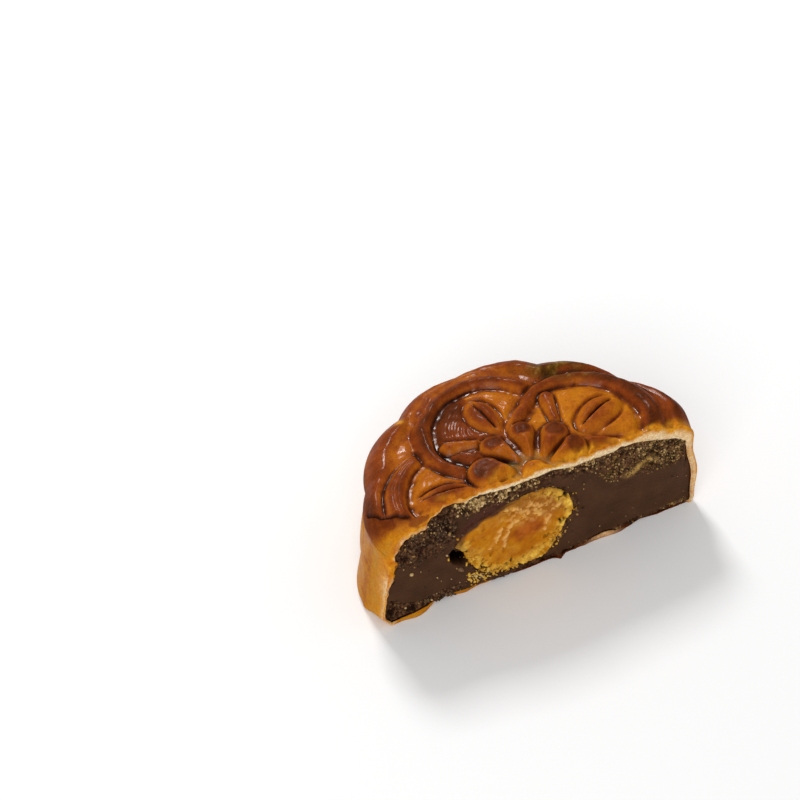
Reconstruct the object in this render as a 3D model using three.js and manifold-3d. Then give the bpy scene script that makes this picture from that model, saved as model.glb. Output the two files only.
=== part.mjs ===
// Half of a baked red bean mooncake, standing on its base with the cut face to the front (-Y).
// Three solids: the moulded crust, the red bean paste that fills it, and the egg yolk in the paste.
// Millimetres, +Z up. The model is worked out with the cut on the plane y = 0 and moved at the end.
import * as THREE from 'three';
import { mergeVertices } from 'three/addons/utils/BufferGeometryUtils.js';
import Module from 'manifold-3d';

// Outline of the cake: a lobed circle whose centre slides a little between the base and the rim,
// because the cake slumped to one side as it baked.
const base = { x: -0.4, y: 0.6, radius: 39.0, footRadius: 1.6 };
const rim = { x: -1.2, y: 0.6, radius: 36.5, roundRadius: 4.6 };
const waist = { height: 17, spread: 4.5, depth: 0.5 };
const wallTop = 22;
const oval = { depth: 1.0, longAxis: 148, low: 14, high: 24 };
const cornerSpread = { depth: 1.3, spread: 14, low: 2, high: 16 };
const baseFlange = { depth: 1.1, at: 166, spread: 13, height: 2.2 };
const notchDepth = 1.9;
const notchSharpness = 1.8;
const notchHalfAngle = 15;
// Direction of each notch in degrees and its share of the full depth.
const notches = [
  [1, 0.4], [29, 0.8], [62, 0.8], [92, 0.35], [120, 1], [151, 0.6],
  [180, 1.2], [210, 1], [240, 1], [270, 1], [300, 1], [330, 1],
];

// Top of the cake: a shallow dome that leans, with the moulded flower on it.
const crown = { height: 30.2, lean: 0.046, fall: 0.0026 };
const flower = { x: -2.47, y: 0.70, firstAxis: 94.9, petals: 5, floor: -1.3, blend: 0.25 };
const hoop = { centre: 17.0, inner: 11.2, outer: 16.6, rise: 2.3 };
const field = { rise: 1.1, edge: 1.6, gap: 0.2 };
const bean = { centre: 19.9, half: 6.5, halfWidth: 3.9, rise: 2.3, edge: 2.6 };
const slit = { width: 0.45, depth: 1.5, endFrom: 0.16, endTo: 0.4 };
const leaf = { fromA: 13.4, fromB: -4.6, toA: 18.2, toB: -12.7, start: 0.35, halfWidth: 2.1, rise: 2.0, edge: 1.7 };
const seed = { inner: 6.0, outer: 14.3, halfWidth: 3.1, widestAt: 0.68, tail: 0.38, rise: 2.5, edge: 1.5 };
const boss = { radius: 3.0, rise: 1.9, edge: 2.4, clear: 6.5 };
const rimBand = { rise: 1.9, edge: 1.8 };

// The knife: it pulled the right part of the cut edge down and pressed the relief flat beside the cut,
// and the crust tore back at the upper left.
const drag = { reach: 2.6, middle: 1.1, right: 0.9, corner: 1.3 };
const press = { left: 0.3, from: -0.5, to: 3.2 };
const tear = { depth: 2.6, lowest: 19, highest: 28, rightEnd: -10, softness: 9 };
// Chips and tongues along the bottom edge of the crust's cut: place, half width and depth of each.
const chips = [
  [-30, 3, -0.6], [-24, 3.2, 2.2], [-15.5, 3.5, 0.8], [-10, 2.6, 1.3], [18.5, 3.5, -0.4], [25, 2.6, 0.6],
];
const chipHeight = 3;

// Layers.
const crustTop = 2.6;
const crustWall = 2.0;
const crustBase = 1.2;
const gap = 0.3;
const yolk = { x: -6.3, y: 1.2, z: 12.7, radiusX: 16.3, radiusY: 12.0, radiusZ: 10.2, roughness: 0.35 };

// Fineness of the surfaces: rings across the top, rows down the wall, size of a cell on the cut.
const fine = { rings: 42, rows: 6 };
const softening = 0.6;
const coarse = { rings: 13, rows: 4 };
const cutCell = 2.1;
const yolkSegments = 30;

const radians = THREE.MathUtils.degToRad;
const clamp01 = (t) => THREE.MathUtils.clamp(t, 0, 1);
const smooth = (from, to, t) => THREE.MathUtils.smoothstep(t, from, to);
const mix = THREE.MathUtils.lerp;

// The larger of two heights, with a rounded valley of the given width between them.
function smoothMax(a, b, width) {
  const share = clamp01(0.5 + 0.5 * (a - b) / width);
  return mix(b, a, share) + width * share * (1 - share);
}

// Height, from 0 to 1, of a rounded pad at a distance inside its edge.
function pad(inside, edge) {
  const t = clamp01(inside / edge);
  return t * (2 - t);
}

// Angle in degrees between two directions.
const apart = (angle, at) => Math.abs(((THREE.MathUtils.radToDeg(angle) - at + 540) % 360) - 180);

// How far a direction lies in a notch: 0 on a lobe and 1 at the bottom of a full notch.
function notchShare(angle) {
  let share = 0;
  for (const [at, depth] of notches) {
    share += depth * Math.max(0, 1 - apart(angle, at) / notchHalfAngle) ** notchSharpness;
  }
  return share;
}

// Radius added to the circle in a direction: the rim is a little oval, there are notches between the
// lobes, the corner at the right end of the cut was pushed outwards above the base, and the base has
// a low flange at the left.
function lobedOffset(angle, z) {
  const stretch = oval.depth * Math.cos(2 * (angle - radians(oval.longAxis)));
  const corner = cornerSpread.depth * Math.exp(-((apart(angle, 0) / cornerSpread.spread) ** 2));
  const flange = baseFlange.depth * Math.exp(-((apart(angle, baseFlange.at) / baseFlange.spread) ** 2));
  return stretch * smooth(oval.low, oval.high, z)
    + corner * smooth(cornerSpread.low, cornerSpread.high, z)
    + flange * Math.exp(-z / baseFlange.height)
    - notchDepth * notchShare(angle);
}

// Centre and radius of the circle at a height.
function outlineAt(z) {
  const low = 1 - smooth(0, wallTop, z);
  const foot = THREE.MathUtils.clamp(base.footRadius - z, 0, base.footRadius);
  const pinch = waist.depth * Math.exp(-(((z - waist.height) / waist.spread) ** 2));
  return {
    x: mix(rim.x, base.x, low),
    y: mix(rim.y, base.y, low),
    radius: mix(rim.radius, base.radius, low ** 0.9) - pinch
      - (base.footRadius - Math.sqrt(base.footRadius ** 2 - foot ** 2)),
  };
}

// Along and across a line that starts at the flower's centre and points in a direction.
function turned(x, y, direction) {
  const c = Math.cos(direction);
  const s = Math.sin(direction);
  return [x * c + y * s, x * s - y * c];
}

// Inside one hoop: a sunken field, a split bean lying along the petal, and a slender leaf.
function petalHeight(a, b, r) {
  const beanInside = bean.halfWidth * (1 - Math.hypot((a - bean.centre) / bean.half, b / bean.halfWidth));
  const split = slit.depth * Math.exp(-((b / slit.width) ** 2))
    * smooth(slit.endFrom, slit.endTo, 1 - Math.abs(a - bean.centre) / bean.half);
  const beanPad = bean.rise * pad(beanInside, bean.edge);
  const beanHeight = beanPad - Math.min(beanPad, split);

  const length = Math.hypot(leaf.toA - leaf.fromA, leaf.toB - leaf.fromB);
  const ua = (leaf.toA - leaf.fromA) / length;
  const ub = (leaf.toB - leaf.fromB) / length;
  const along = ((a - leaf.fromA) * ua + (b - leaf.fromB) * ub) / length;
  const across = (b - leaf.fromB) * ua - (a - leaf.fromA) * ub;
  const t = clamp01((along + leaf.start) / (1 + leaf.start));
  const leafInside = leaf.halfWidth * Math.sqrt(4 * t * (1 - t)) - Math.abs(across);
  const leafHeight = leaf.rise * pad(leafInside, leaf.edge);

  const away = (1 - 0.9 * smooth(-0.9, 0, beanInside)) * (1 - 0.9 * smooth(-0.9, 0, leafInside));
  const fieldHeight = field.rise * pad(hoop.inner - field.gap - r, field.edge) * away;
  return smoothMax(smoothMax(fieldHeight, beanHeight, flower.blend), leafHeight, flower.blend);
}

// Height of the moulded flower above its lowest grooves.
function reliefHeight(px, py) {
  const x = px - flower.x;
  const y = py - flower.y;
  const reach = Math.hypot(x, y);
  const angle = Math.atan2(y, x);
  const step = 2 * Math.PI / flower.petals;
  const first = radians(flower.firstAxis);
  const petal = Math.round((angle - first) / step);

  // Each hoop passes over the one before it and under the one after it.
  let [a, b] = turned(x, y, first + petal * step);
  const [nextA, nextB] = turned(x, y, first + (petal - 1) * step);
  if (b > 0 && Math.hypot(nextA - hoop.centre, nextB) < hoop.outer) [a, b] = [nextA, nextB];
  const r = Math.hypot(a - hoop.centre, b);
  const middle = (hoop.inner + hoop.outer) / 2;
  const half = (hoop.outer - hoop.inner) / 2;
  let height = rimBand.rise * pad(r - hoop.outer, rimBand.edge);
  if (r <= hoop.outer) height = hoop.rise * pad(half - Math.abs(r - middle), half);
  if (r < hoop.inner) height = petalHeight(a, b, r);

  // Ten seeds round the boss, each a drop with its broad end outwards.
  const firstSeed = first + step / 4;
  const direction = firstSeed + Math.round((angle - firstSeed) / (step / 2)) * step / 2;
  const [out, side] = turned(x, y, direction);
  const u = (out - seed.inner) / (seed.outer - seed.inner);
  const round = Math.sqrt(clamp01(1 - ((u - seed.widestAt) / (1 - seed.widestAt)) ** 2));
  const taper = seed.tail + (1 - seed.tail) * smooth(-0.1, seed.widestAt, u);
  const width = seed.halfWidth * (u > seed.widestAt ? round : taper);
  const inSeed = Math.min(width - Math.abs(side), seed.outer - out, 0.8 * (out - seed.inner + 1.2));
  const seedHeight = seed.rise * pad(inSeed, seed.edge) * smooth(-0.25, 0.55, u);
  height *= smooth(seed.outer - 2.2, seed.outer + 0.9, reach);
  if (u > 0.3) height *= 1 - 0.85 * smooth(-0.8, 0.1, inSeed);
  height = smoothMax(height, seedHeight, flower.blend);

  if (reach >= boss.clear) return height;
  return smoothMax(height, boss.rise * pad(boss.radius - reach, boss.edge), flower.blend);
}

// The relief as this mesh can hold it: averaged over a small cross, and pressed down beside the cut.
function softRelief(x, y) {
  let sum = 2 * reliefHeight(x, y);
  for (const [dx, dy] of [[1, 0], [-1, 0], [0, 1], [0, -1]]) {
    sum += reliefHeight(x + softening * dx, y + softening * dy);
  }
  const kept = mix(press.left, 1, smooth(press.from, press.to, y));
  return kept * (flower.floor + sum / 6);
}

// The dome without its relief, pulled down beside the cut.
function crownHeight(x, y) {
  const fx = x - flower.x;
  const fy = y - flower.y;
  const pulled = drag.middle * smooth(2, 9, x) + drag.right * smooth(18, 28, x)
    + drag.corner * smooth(27, 35, x);
  return crown.height + crown.lean * fx - crown.fall * (fx * fx + fy * fy)
    - pulled * Math.exp(-((Math.max(y, 0) / drag.reach) ** 2));
}

// A closed body like a round cake: rings across the top, rows down the wall, and a flat base.
// pointAt(part, angle, t) gives the place of a point, with part 'top' or 'wall' and t from 0 to 1.
function cakeBody({ rings, rows }, pointAt) {
  const sides = 6;
  const places = [pointAt('top', 0, 0)];
  const faces = [];
  const ringStart = [0];
  for (let k = 1; k <= rings; k += 1) {
    ringStart.push(places.length);
    for (let i = 0; i < sides * k; i += 1) {
      places.push(pointAt('top', 2 * Math.PI * i / (sides * k), k / rings));
    }
  }
  const place = (k, i) => (k === 0 ? 0 : ringStart[k] + (i % (sides * k)));
  for (let k = 1; k <= rings; k += 1) {
    for (let side = 0; side < sides; side += 1) {
      for (let i = 0; i < k; i += 1) {
        const outer = side * k + i;
        const inner = side * (k - 1) + i;
        faces.push(place(k - 1, inner), place(k, outer), place(k, outer + 1));
        if (i < k - 1) faces.push(place(k - 1, inner), place(k, outer + 1), place(k - 1, inner + 1));
      }
    }
  }
  const columns = sides * rings;
  let above = ringStart[rings];
  for (let row = 1; row <= rows; row += 1) {
    const below = places.length;
    for (let i = 0; i < columns; i += 1) places.push(pointAt('wall', 2 * Math.PI * i / columns, row / rows));
    for (let i = 0; i < columns; i += 1) {
      const j = (i + 1) % columns;
      faces.push(above + i, below + i, below + j, above + i, below + j, above + j);
    }
    above = below;
  }
  const middle = places.length;
  places.push([rim.x, rim.y, places[above][2]]);
  for (let i = 0; i < columns; i += 1) faces.push(above + i, middle, above + ((i + 1) % columns));

  const geometry = new THREE.BufferGeometry();
  geometry.setAttribute('position', new THREE.Float32BufferAttribute(places.flat(), 3));
  geometry.setIndex(faces);
  return geometry;
}

// A point of the cake's outside, moved inwards by the layer's thicknesses.
function cakePoint(inset) {
  const { top, wall, bottom, relief } = inset;
  const roundRadius = rim.roundRadius;
  return (part, angle, t) => {
    const rimRadius = rim.radius - wall + lobedOffset(angle, wallTop);
    const flat = rimRadius - roundRadius;
    const arc = Math.PI / 2 * roundRadius;
    const travelled = (part === 'top' ? t : 1) * (flat + arc);
    const bend = Math.max(0, travelled - flat) / roundRadius;
    const radius = Math.min(travelled, flat) + roundRadius * Math.sin(bend);
    const drop = roundRadius * (1 - Math.cos(bend));
    const x = rim.x + radius * Math.cos(angle);
    const y = rim.y + radius * Math.sin(angle);
    const lift = relief ? softRelief(x, y) * clamp01(1 - 1.3 * drop / roundRadius) : 0;
    const z = crownHeight(x, y) + lift - drop - top;
    if (part === 'top') return [x, y, z];

    // Down the wall the rows crowd towards the rounded foot.
    const down = Math.sin(t * Math.PI / 2);
    const height = mix(z, bottom, down);
    const here = outlineAt(height);
    const start = outlineAt(z);
    const join = (rim.radius - start.radius) * (1 - down) ** 3;
    const wallRadius = here.radius - wall + lobedOffset(angle, height) + join;
    return [here.x + wallRadius * Math.cos(angle), here.y + wallRadius * Math.sin(angle), height];
  };
}

// How far behind the plane y = 0 the cut runs at a place on it. The wobble is each layer's own.
function cutDepth(x, z, wobble) {
  const torn = tear.depth * smooth(tear.lowest, tear.highest, z)
    * (1 - smooth(tear.rightEnd - tear.softness, tear.rightEnd, x));
  return torn + wobble(x, z);
}

// The crust's bottom edge broke off in chips, which fade out a few millimetres above the base.
function chipDepth(x, z) {
  let depth = 0;
  for (const [at, halfWidth, deep] of chips) depth += deep * Math.exp(-(((x - at) / halfWidth) ** 2));
  return depth * Math.exp(-z / chipHeight);
}

const wobbles = {
  crust: (x, z) => 0.2 * Math.sin(0.9 * x + 0.4) + 0.2 * Math.sin(0.7 * z + 0.31 * x) + chipDepth(x, z),
  paste: (x, z) => 0.45 + 0.3 * Math.sin(0.55 * x + 0.35 * z) + 0.22 * Math.sin(1.3 * x - 0.9 * z + 1.0),
  yolk: (x, z) => 0.15 + 0.35 * Math.sin(0.5 * x - 0.6 * z + 2.0) + 0.2 * Math.sin(1.2 * x + 0.8 * z),
};

// A block that covers everything behind the cut, with the wobbling cut as its front face.
function behindCut(wobble) {
  const width = 96;
  const height = 44;
  const depth = 60;
  const bottom = -4;
  const block = new THREE.BoxGeometry(
    width, depth, height, Math.round(width / cutCell), 1, Math.round(height / cutCell),
  );
  const position = block.attributes.position;
  for (let i = 0; i < position.count; i += 1) {
    const x = position.getX(i);
    const z = position.getZ(i) + height / 2 + bottom;
    const front = position.getY(i) < 0;
    position.setXYZ(i, x, front ? cutDepth(x, z, wobble) : depth, z);
  }
  return block;
}

// An egg yolk, a little lumpy, grown by a margin on all sides.
function yolkBody(margin) {
  const ball = new THREE.SphereGeometry(1, yolkSegments, yolkSegments / 2);
  const position = ball.attributes.position;
  for (let i = 0; i < position.count; i += 1) {
    const x = position.getX(i);
    const y = position.getY(i);
    const z = position.getZ(i);
    const lump = yolk.roughness * (Math.sin(4 * x + 3 * z) + Math.sin(5 * y - 4 * z + 1));
    position.setXYZ(
      i,
      yolk.x + x * (yolk.radiusX + lump + margin),
      yolk.y + y * (yolk.radiusY + lump + margin),
      yolk.z + z * (yolk.radiusZ + margin),
    );
  }
  return ball;
}

const wasm = await Module();
wasm.setup();

function toSolid(geometry) {
  const bare = geometry.clone();
  bare.deleteAttribute('normal');
  bare.deleteAttribute('uv');
  const merged = mergeVertices(bare, 1e-4);
  return new wasm.Manifold(new wasm.Mesh({
    numProp: 3,
    vertProperties: new Float32Array(merged.attributes.position.array),
    triVerts: new Uint32Array(merged.index.array),
  }));
}

function toMesh(solid, name, material) {
  const result = solid.getMesh();
  const geometry = new THREE.BufferGeometry();
  geometry.setAttribute('position', new THREE.BufferAttribute(result.vertProperties, 3));
  geometry.setIndex(new THREE.BufferAttribute(result.triVerts, 1));
  geometry.computeVertexNormals();
  const mesh = new THREE.Mesh(geometry, material);
  mesh.name = name;
  return mesh;
}

// Crust: the moulded outside with the room for the paste taken out, cut open at the front.
function makeCrust() {
  const outside = toSolid(cakeBody(fine, cakePoint({ top: 0, wall: 0, bottom: 0, relief: true })));
  const room = toSolid(cakeBody(coarse, cakePoint({ top: crustTop, wall: crustWall, bottom: crustBase })));
  const crust = outside.subtract(room).intersect(toSolid(behindCut(wobbles.crust)));
  const material = new THREE.MeshStandardMaterial({ color: 0xa4581c, roughness: 0.35, metalness: 0 });
  return toMesh(crust, 'crust', material);
}

// Paste: fills the crust but for the gap, with a hollow where the yolk sits.
function makePaste() {
  const filling = toSolid(cakeBody(coarse, cakePoint({
    top: crustTop + gap, wall: crustWall + gap, bottom: crustBase + gap,
  })));
  const paste = filling.subtract(toSolid(yolkBody(gap))).intersect(toSolid(behindCut(wobbles.paste)));
  const material = new THREE.MeshStandardMaterial({ color: 0x3a251a, roughness: 0.8, metalness: 0 });
  return toMesh(paste, 'red_bean_paste', material);
}

function makeYolk() {
  const half = toSolid(yolkBody(0)).intersect(toSolid(behindCut(wobbles.yolk)));
  const material = new THREE.MeshStandardMaterial({ color: 0xd08a1a, roughness: 0.6, metalness: 0 });
  return toMesh(half, 'egg_yolk', material);
}

const mooncake = new THREE.Group();
mooncake.add(makeCrust(), makePaste(), makeYolk());

// The origin goes to the middle of the footprint, on the surface that the half stands on.
const bounds = new THREE.Box3().setFromObject(mooncake);
const centre = bounds.getCenter(new THREE.Vector3());
mooncake.position.set(-centre.x, -centre.y, -bounds.min.z);

export default mooncake;
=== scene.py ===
import itertools

import bpy
import numpy as np
from mathutils import Matrix, Vector


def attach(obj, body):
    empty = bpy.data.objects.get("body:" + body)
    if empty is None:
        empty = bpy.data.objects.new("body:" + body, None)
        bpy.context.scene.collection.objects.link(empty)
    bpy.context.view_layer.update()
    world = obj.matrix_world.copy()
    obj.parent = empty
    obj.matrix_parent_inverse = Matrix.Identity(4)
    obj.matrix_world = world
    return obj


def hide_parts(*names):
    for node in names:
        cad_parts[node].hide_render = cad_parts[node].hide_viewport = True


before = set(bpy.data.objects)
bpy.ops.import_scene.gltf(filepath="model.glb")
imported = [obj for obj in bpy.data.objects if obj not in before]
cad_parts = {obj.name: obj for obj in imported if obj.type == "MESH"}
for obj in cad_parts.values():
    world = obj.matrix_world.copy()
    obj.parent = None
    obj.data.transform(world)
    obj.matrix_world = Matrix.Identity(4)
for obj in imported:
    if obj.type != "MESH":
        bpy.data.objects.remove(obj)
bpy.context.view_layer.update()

# Half of a baked red bean mooncake, standing on its base with the cut towards the front.
# Shapes are worked out in millimetres in the cut's own axes: x runs to the right along the cut,
# y away from it into the cake, and z up from the base. This is where those axes start in the part.
cutToPart = np.array([0.5308, -19.2228, 0.0])
perMetre = 1000  # millimetres in a metre; divided by a size in mm it is a texture's scale
fineness = 1.0  # share of the full number of points along each side of a grid


def srgb(code, alpha=1.0):
    # Turns a hex colour as seen on a screen into linear light.
    channels = np.array([int(code[i:i + 2], 16) for i in (1, 3, 5)]) / 255
    linear = np.where(channels <= 0.04045, channels / 12.92, ((channels + 0.055) / 1.055) ** 2.4)
    return (*linear.tolist(), alpha)


def mix(a, b, share):
    # From a at share 0 to b at share 1 in a straight line.
    return a + (b - a) * share


def smoothStep(low, high, t):
    # An S-shaped ramp: 0 below low, 1 above high.
    t = np.clip((t - low) / (high - low), 0, 1)
    return t * t * (3 - 2 * t)


def smoothMax(a, b, width):
    # The larger of two heights, with a rounded valley of this width between them.
    share = np.clip(0.5 + 0.5 * (a - b) / width, 0, 1)
    return mix(b, a, share) + width * share * (1 - share)


def pad(inside, edge):
    # Height from 0 to 1 of a rounded pad at a distance inside its edge: a parabola that ends level.
    t = np.clip(inside / edge, 0, 1)
    return t * (2 - t)


def bell(t):
    # A bell curve: 1 at 0 and fading to nothing on both sides.
    return np.exp(-t * t)


def readTable(t, table):
    # The value at a place, on straight lines between the table's (place, value) pairs.
    return np.interp(t, *zip(*table))


def fromPath(x, y, path):
    # Distance to a path of straight pieces, positive on its left and negative on its right.
    nearest, side = np.full(np.shape(x + y), 1e9), 1.0
    for (ax, ay), (bx, by) in zip(path[:-1], path[1:]):
        ux, uy = bx - ax, by - ay
        t = np.clip(((x - ax) * ux + (y - ay) * uy) / (ux * ux + uy * uy), 0, 1)
        away = np.hypot(x - ax - t * ux, y - ay - t * uy)
        side = np.where(away < nearest, np.sign(ux * (y - ay) - uy * (x - ax)), side)
        nearest = np.minimum(nearest, away)
    return nearest * side


def scatter(ix, iy, iz, seed):
    # A repeatable number from 0 to 1 for each corner of a lattice, by multiplying and shuffling bits.
    n = (ix * 374761393 + iy * 668265263 + iz * 1274126177 + seed * 97531) & 0xFFFFFFFF
    n = ((n ^ (n >> 13)) * 1103515245 + 12345) & 0xFFFFFFFF
    n = ((n ^ (n >> 15)) * 668265263) & 0xFFFFFFFF
    return ((n ^ (n >> 16)) & 0xFFFFF) / 0xFFFFF


def noise(p, size, seed, layers=1):
    # Smooth random swelling from -1 to 1: lattice values of this spacing, blended, with finer layers on top.
    total = 0
    for layer in range(layers):
        q = np.stack(np.broadcast_arrays(*p), -1) / (np.array(size) / 2 ** layer)
        cell = np.floor(q).astype(np.int64)
        f = q - cell
        f = f * f * (3 - 2 * f)
        value = 0
        for corner in range(8):
            step = corner & 1, corner >> 1 & 1, corner >> 2
            weight = 1
            for axis, d in enumerate(step):
                weight = weight * mix(1 - f[..., axis], f[..., axis], d)
            value = value + weight * scatter(*(cell[..., axis] + d for axis, d in enumerate(step)), seed + layer)
        total = total + (2 * value - 1) / 2 ** layer
    return total / (2 - 0.5 ** (layers - 1))


def grains(p, size, seed):
    # Distance from each point to the nearest of many scattered grains, as a share of their spacing.
    q = np.stack(np.broadcast_arrays(*p), -1) / size
    cell = np.floor(q).astype(np.int64)
    nearest = np.full(q.shape[:-1], 9.0)
    for step in itertools.product((-1, 0, 1), repeat=3):
        c = cell + np.array(step)
        away = 0
        for axis in range(3):
            at = c[..., axis] + scatter(c[..., 0], c[..., 1], c[..., 2], seed + 31 * axis)
            away = away + (q[..., axis] - at) ** 2
        nearest = np.minimum(nearest, away)
    return np.sqrt(nearest)


def blurred(grid, across, cell):
    # Average over a square round each point, this many mm to each side, by sliding sums both ways.
    reach = max(1, round(across / cell))
    for axis in (0, 1):
        width = [(0, 0), (0, 0)]
        width[axis] = (reach + 1, reach)
        total = np.cumsum(np.pad(grid, width, mode="edge"), axis=axis)
        start = np.arange(grid.shape[axis])
        grid = (np.take(total, start + 2 * reach + 1, axis=axis) - np.take(total, start, axis=axis)) / (2 * reach + 1)
    return grid


def gridFaces(index, flip=False):
    # Quads between neighbouring points of a grid that holds the points' numbers.
    quads = np.stack([index[:-1, :-1], index[:-1, 1:], index[1:, 1:], index[1:, :-1]], -1).reshape(-1, 4)
    return quads[:, ::-1] if flip else quads


def seamFaces(a, b, placeA, placeB, flip=False):
    # Triangles that join two rows of points with different spacing: the edges of both rows are taken
    # in the order of their middles, and each reaches across to the point that the other row has got to.
    midA, midB = (placeA[1:] + placeA[:-1]) / 2, (placeB[1:] + placeB[:-1]) / 2
    fromA = np.stack([a[:-1], a[1:], b[np.searchsorted(midB, midA, side="left")]], -1)
    fromB = np.stack([b[1:], b[:-1], a[np.searchsorted(midA, midB, side="right")]], -1)
    faces = np.concatenate([fromA, fromB])
    return faces[:, ::-1] if flip else faces


def halfDisc(cells):
    # Even grid over a half disc: a rectangle twice as wide as high is pressed into it, so that each
    # rectangle round the middle of the straight side becomes a half circle. Gives radius and angle.
    a, b = np.meshgrid(np.linspace(-1, 1, 2 * cells + 1), np.linspace(0, 1, cells + 1))
    wide = np.abs(a) > b
    radius = np.where(wide, np.abs(a), b)
    safe = np.maximum(radius, 1e-9)
    side = np.pi / 4 * b / safe
    angle = np.where(wide, np.where(a > 0, side, np.pi - side), np.pi / 2 - np.pi / 4 * a / safe)
    return radius, np.where(radius < 1e-9, np.pi / 2, angle)


def arcOf(index):
    # The points of a half disc's grid along its round edge, from the right end to the left end.
    return np.concatenate([index[:, -1], index[-1, -2::-1], index[-2::-1, 0]])


def fullDisc(cells):
    # Even grid over a disc: each square round the middle of a square grid is pressed into a circle.
    a, b = np.meshgrid(np.linspace(-1, 1, 2 * cells + 1), np.linspace(-1, 1, 2 * cells + 1))
    share = np.maximum(np.abs(a), np.abs(b))
    length = np.maximum(np.hypot(a, b), 1e-9)
    return a * share / length, b * share / length


def backToBack(front, back):
    # Faces of two grids of points' numbers that stand back to back, joined all round their borders.
    # A border point's place runs from 0 to 4: each side of its grid counts one.
    rings, places = [], []
    for index in (front, back):
        rows, columns = index.shape[0] - 1, index.shape[1] - 1
        rings.append(np.concatenate([index[0, :-1], index[:-1, -1], index[-1, :0:-1], index[:0:-1, 0], index[0, :1]]))
        places.append(np.append(np.concatenate([side + np.arange(n) / n for side, n in
                                                enumerate((columns, rows, columns, rows))]), 4.0))
    return [gridFaces(front), gridFaces(back, True), seamFaces(*rings, *places, True)]


def numberGrids(parts):
    # Numbers the points of one grid after another, row by row.
    numbers, count = [], 0
    for part in parts:
        shape = np.broadcast_shapes(*map(np.shape, part["p"]))
        numbers.append(count + np.arange(np.prod(shape)).reshape(shape))
        count += np.prod(shape)
    return numbers


def joined(parts, keys):
    # All the parts' points in one list, and beside them each mask, 0 where a part doesn't give it.
    shapes = [np.broadcast_shapes(*map(np.shape, part["p"])) for part in parts]
    points = np.concatenate([np.stack(np.broadcast_arrays(*part["p"]), -1).reshape(-1, 3) for part in parts])
    return points, {key: np.concatenate([np.broadcast_to(part.get(key, 0.0), shape).ravel()
                                         for part, shape in zip(parts, shapes)]) for key in keys}


def makePiece(name, points, faces, masks, material, node=None, slotName=None):
    # Puts arrays of points (mm, in the cut's axes) and faces into a mesh, with masks as attributes.
    mesh = bpy.data.meshes.new(name)
    placed = (points + cutToPart) / perMetre
    mesh.from_pydata(placed.tolist(), [], [f for group in faces for f in group.tolist()])
    mesh.validate()
    mesh.shade_smooth()
    for key, value in masks.items():
        layer = mesh.attributes.new(key, "FLOAT", "POINT")
        layer.data.foreach_set("value", value.astype(np.float32))
    piece = bpy.data.objects.new(name, mesh)
    bpy.context.scene.collection.objects.link(piece)
    mesh.materials.append(material)
    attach(piece, "root")
    if node:
        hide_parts(node)
    print(f"{name}: {len(mesh.vertices)} points, {sum(len(p.vertices) - 2 for p in mesh.polygons)} triangles")


def setInputs(tree, node, inputs):
    # An input that is given a socket is linked; a hex colour or a number is set.
    for key, value in inputs.items():
        if isinstance(value, bpy.types.NodeSocket):
            tree.links.new(value, node.inputs[key])
        else:
            node.inputs[key].default_value = srgb(value) if isinstance(value, str) else value


def addNode(tree, kind, inputs=None, stops=(), out=0, **settings):
    # Adds one node with its options and inputs and gives back one of its outputs. Stops are a colour
    # ramp's positions and colours, its two ends first.
    node = tree.nodes.new("ShaderNode" + kind)
    for key, value in settings.items():
        setattr(node, key, value)
    setInputs(tree, node, inputs or {})
    for k, (position, code) in enumerate(stops):
        elements = node.color_ramp.elements
        element = elements[-k] if k < 2 else elements.new(position)
        element.position, element.color = position, srgb(code)
    return node.outputs[out]


def startMaterial(name, masks):
    # A new material with its node tree, the object's own coordinates, and the mesh's masks by name.
    material = bpy.data.materials.new(name)
    material.use_nodes = True
    tree = material.node_tree
    coords = addNode(tree, "TexCoord", out="Object")
    return material, tree, coords, {key: addNode(tree, "Attribute", out="Fac", attribute_name=key) for key in masks}


print("helpers ready")

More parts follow.
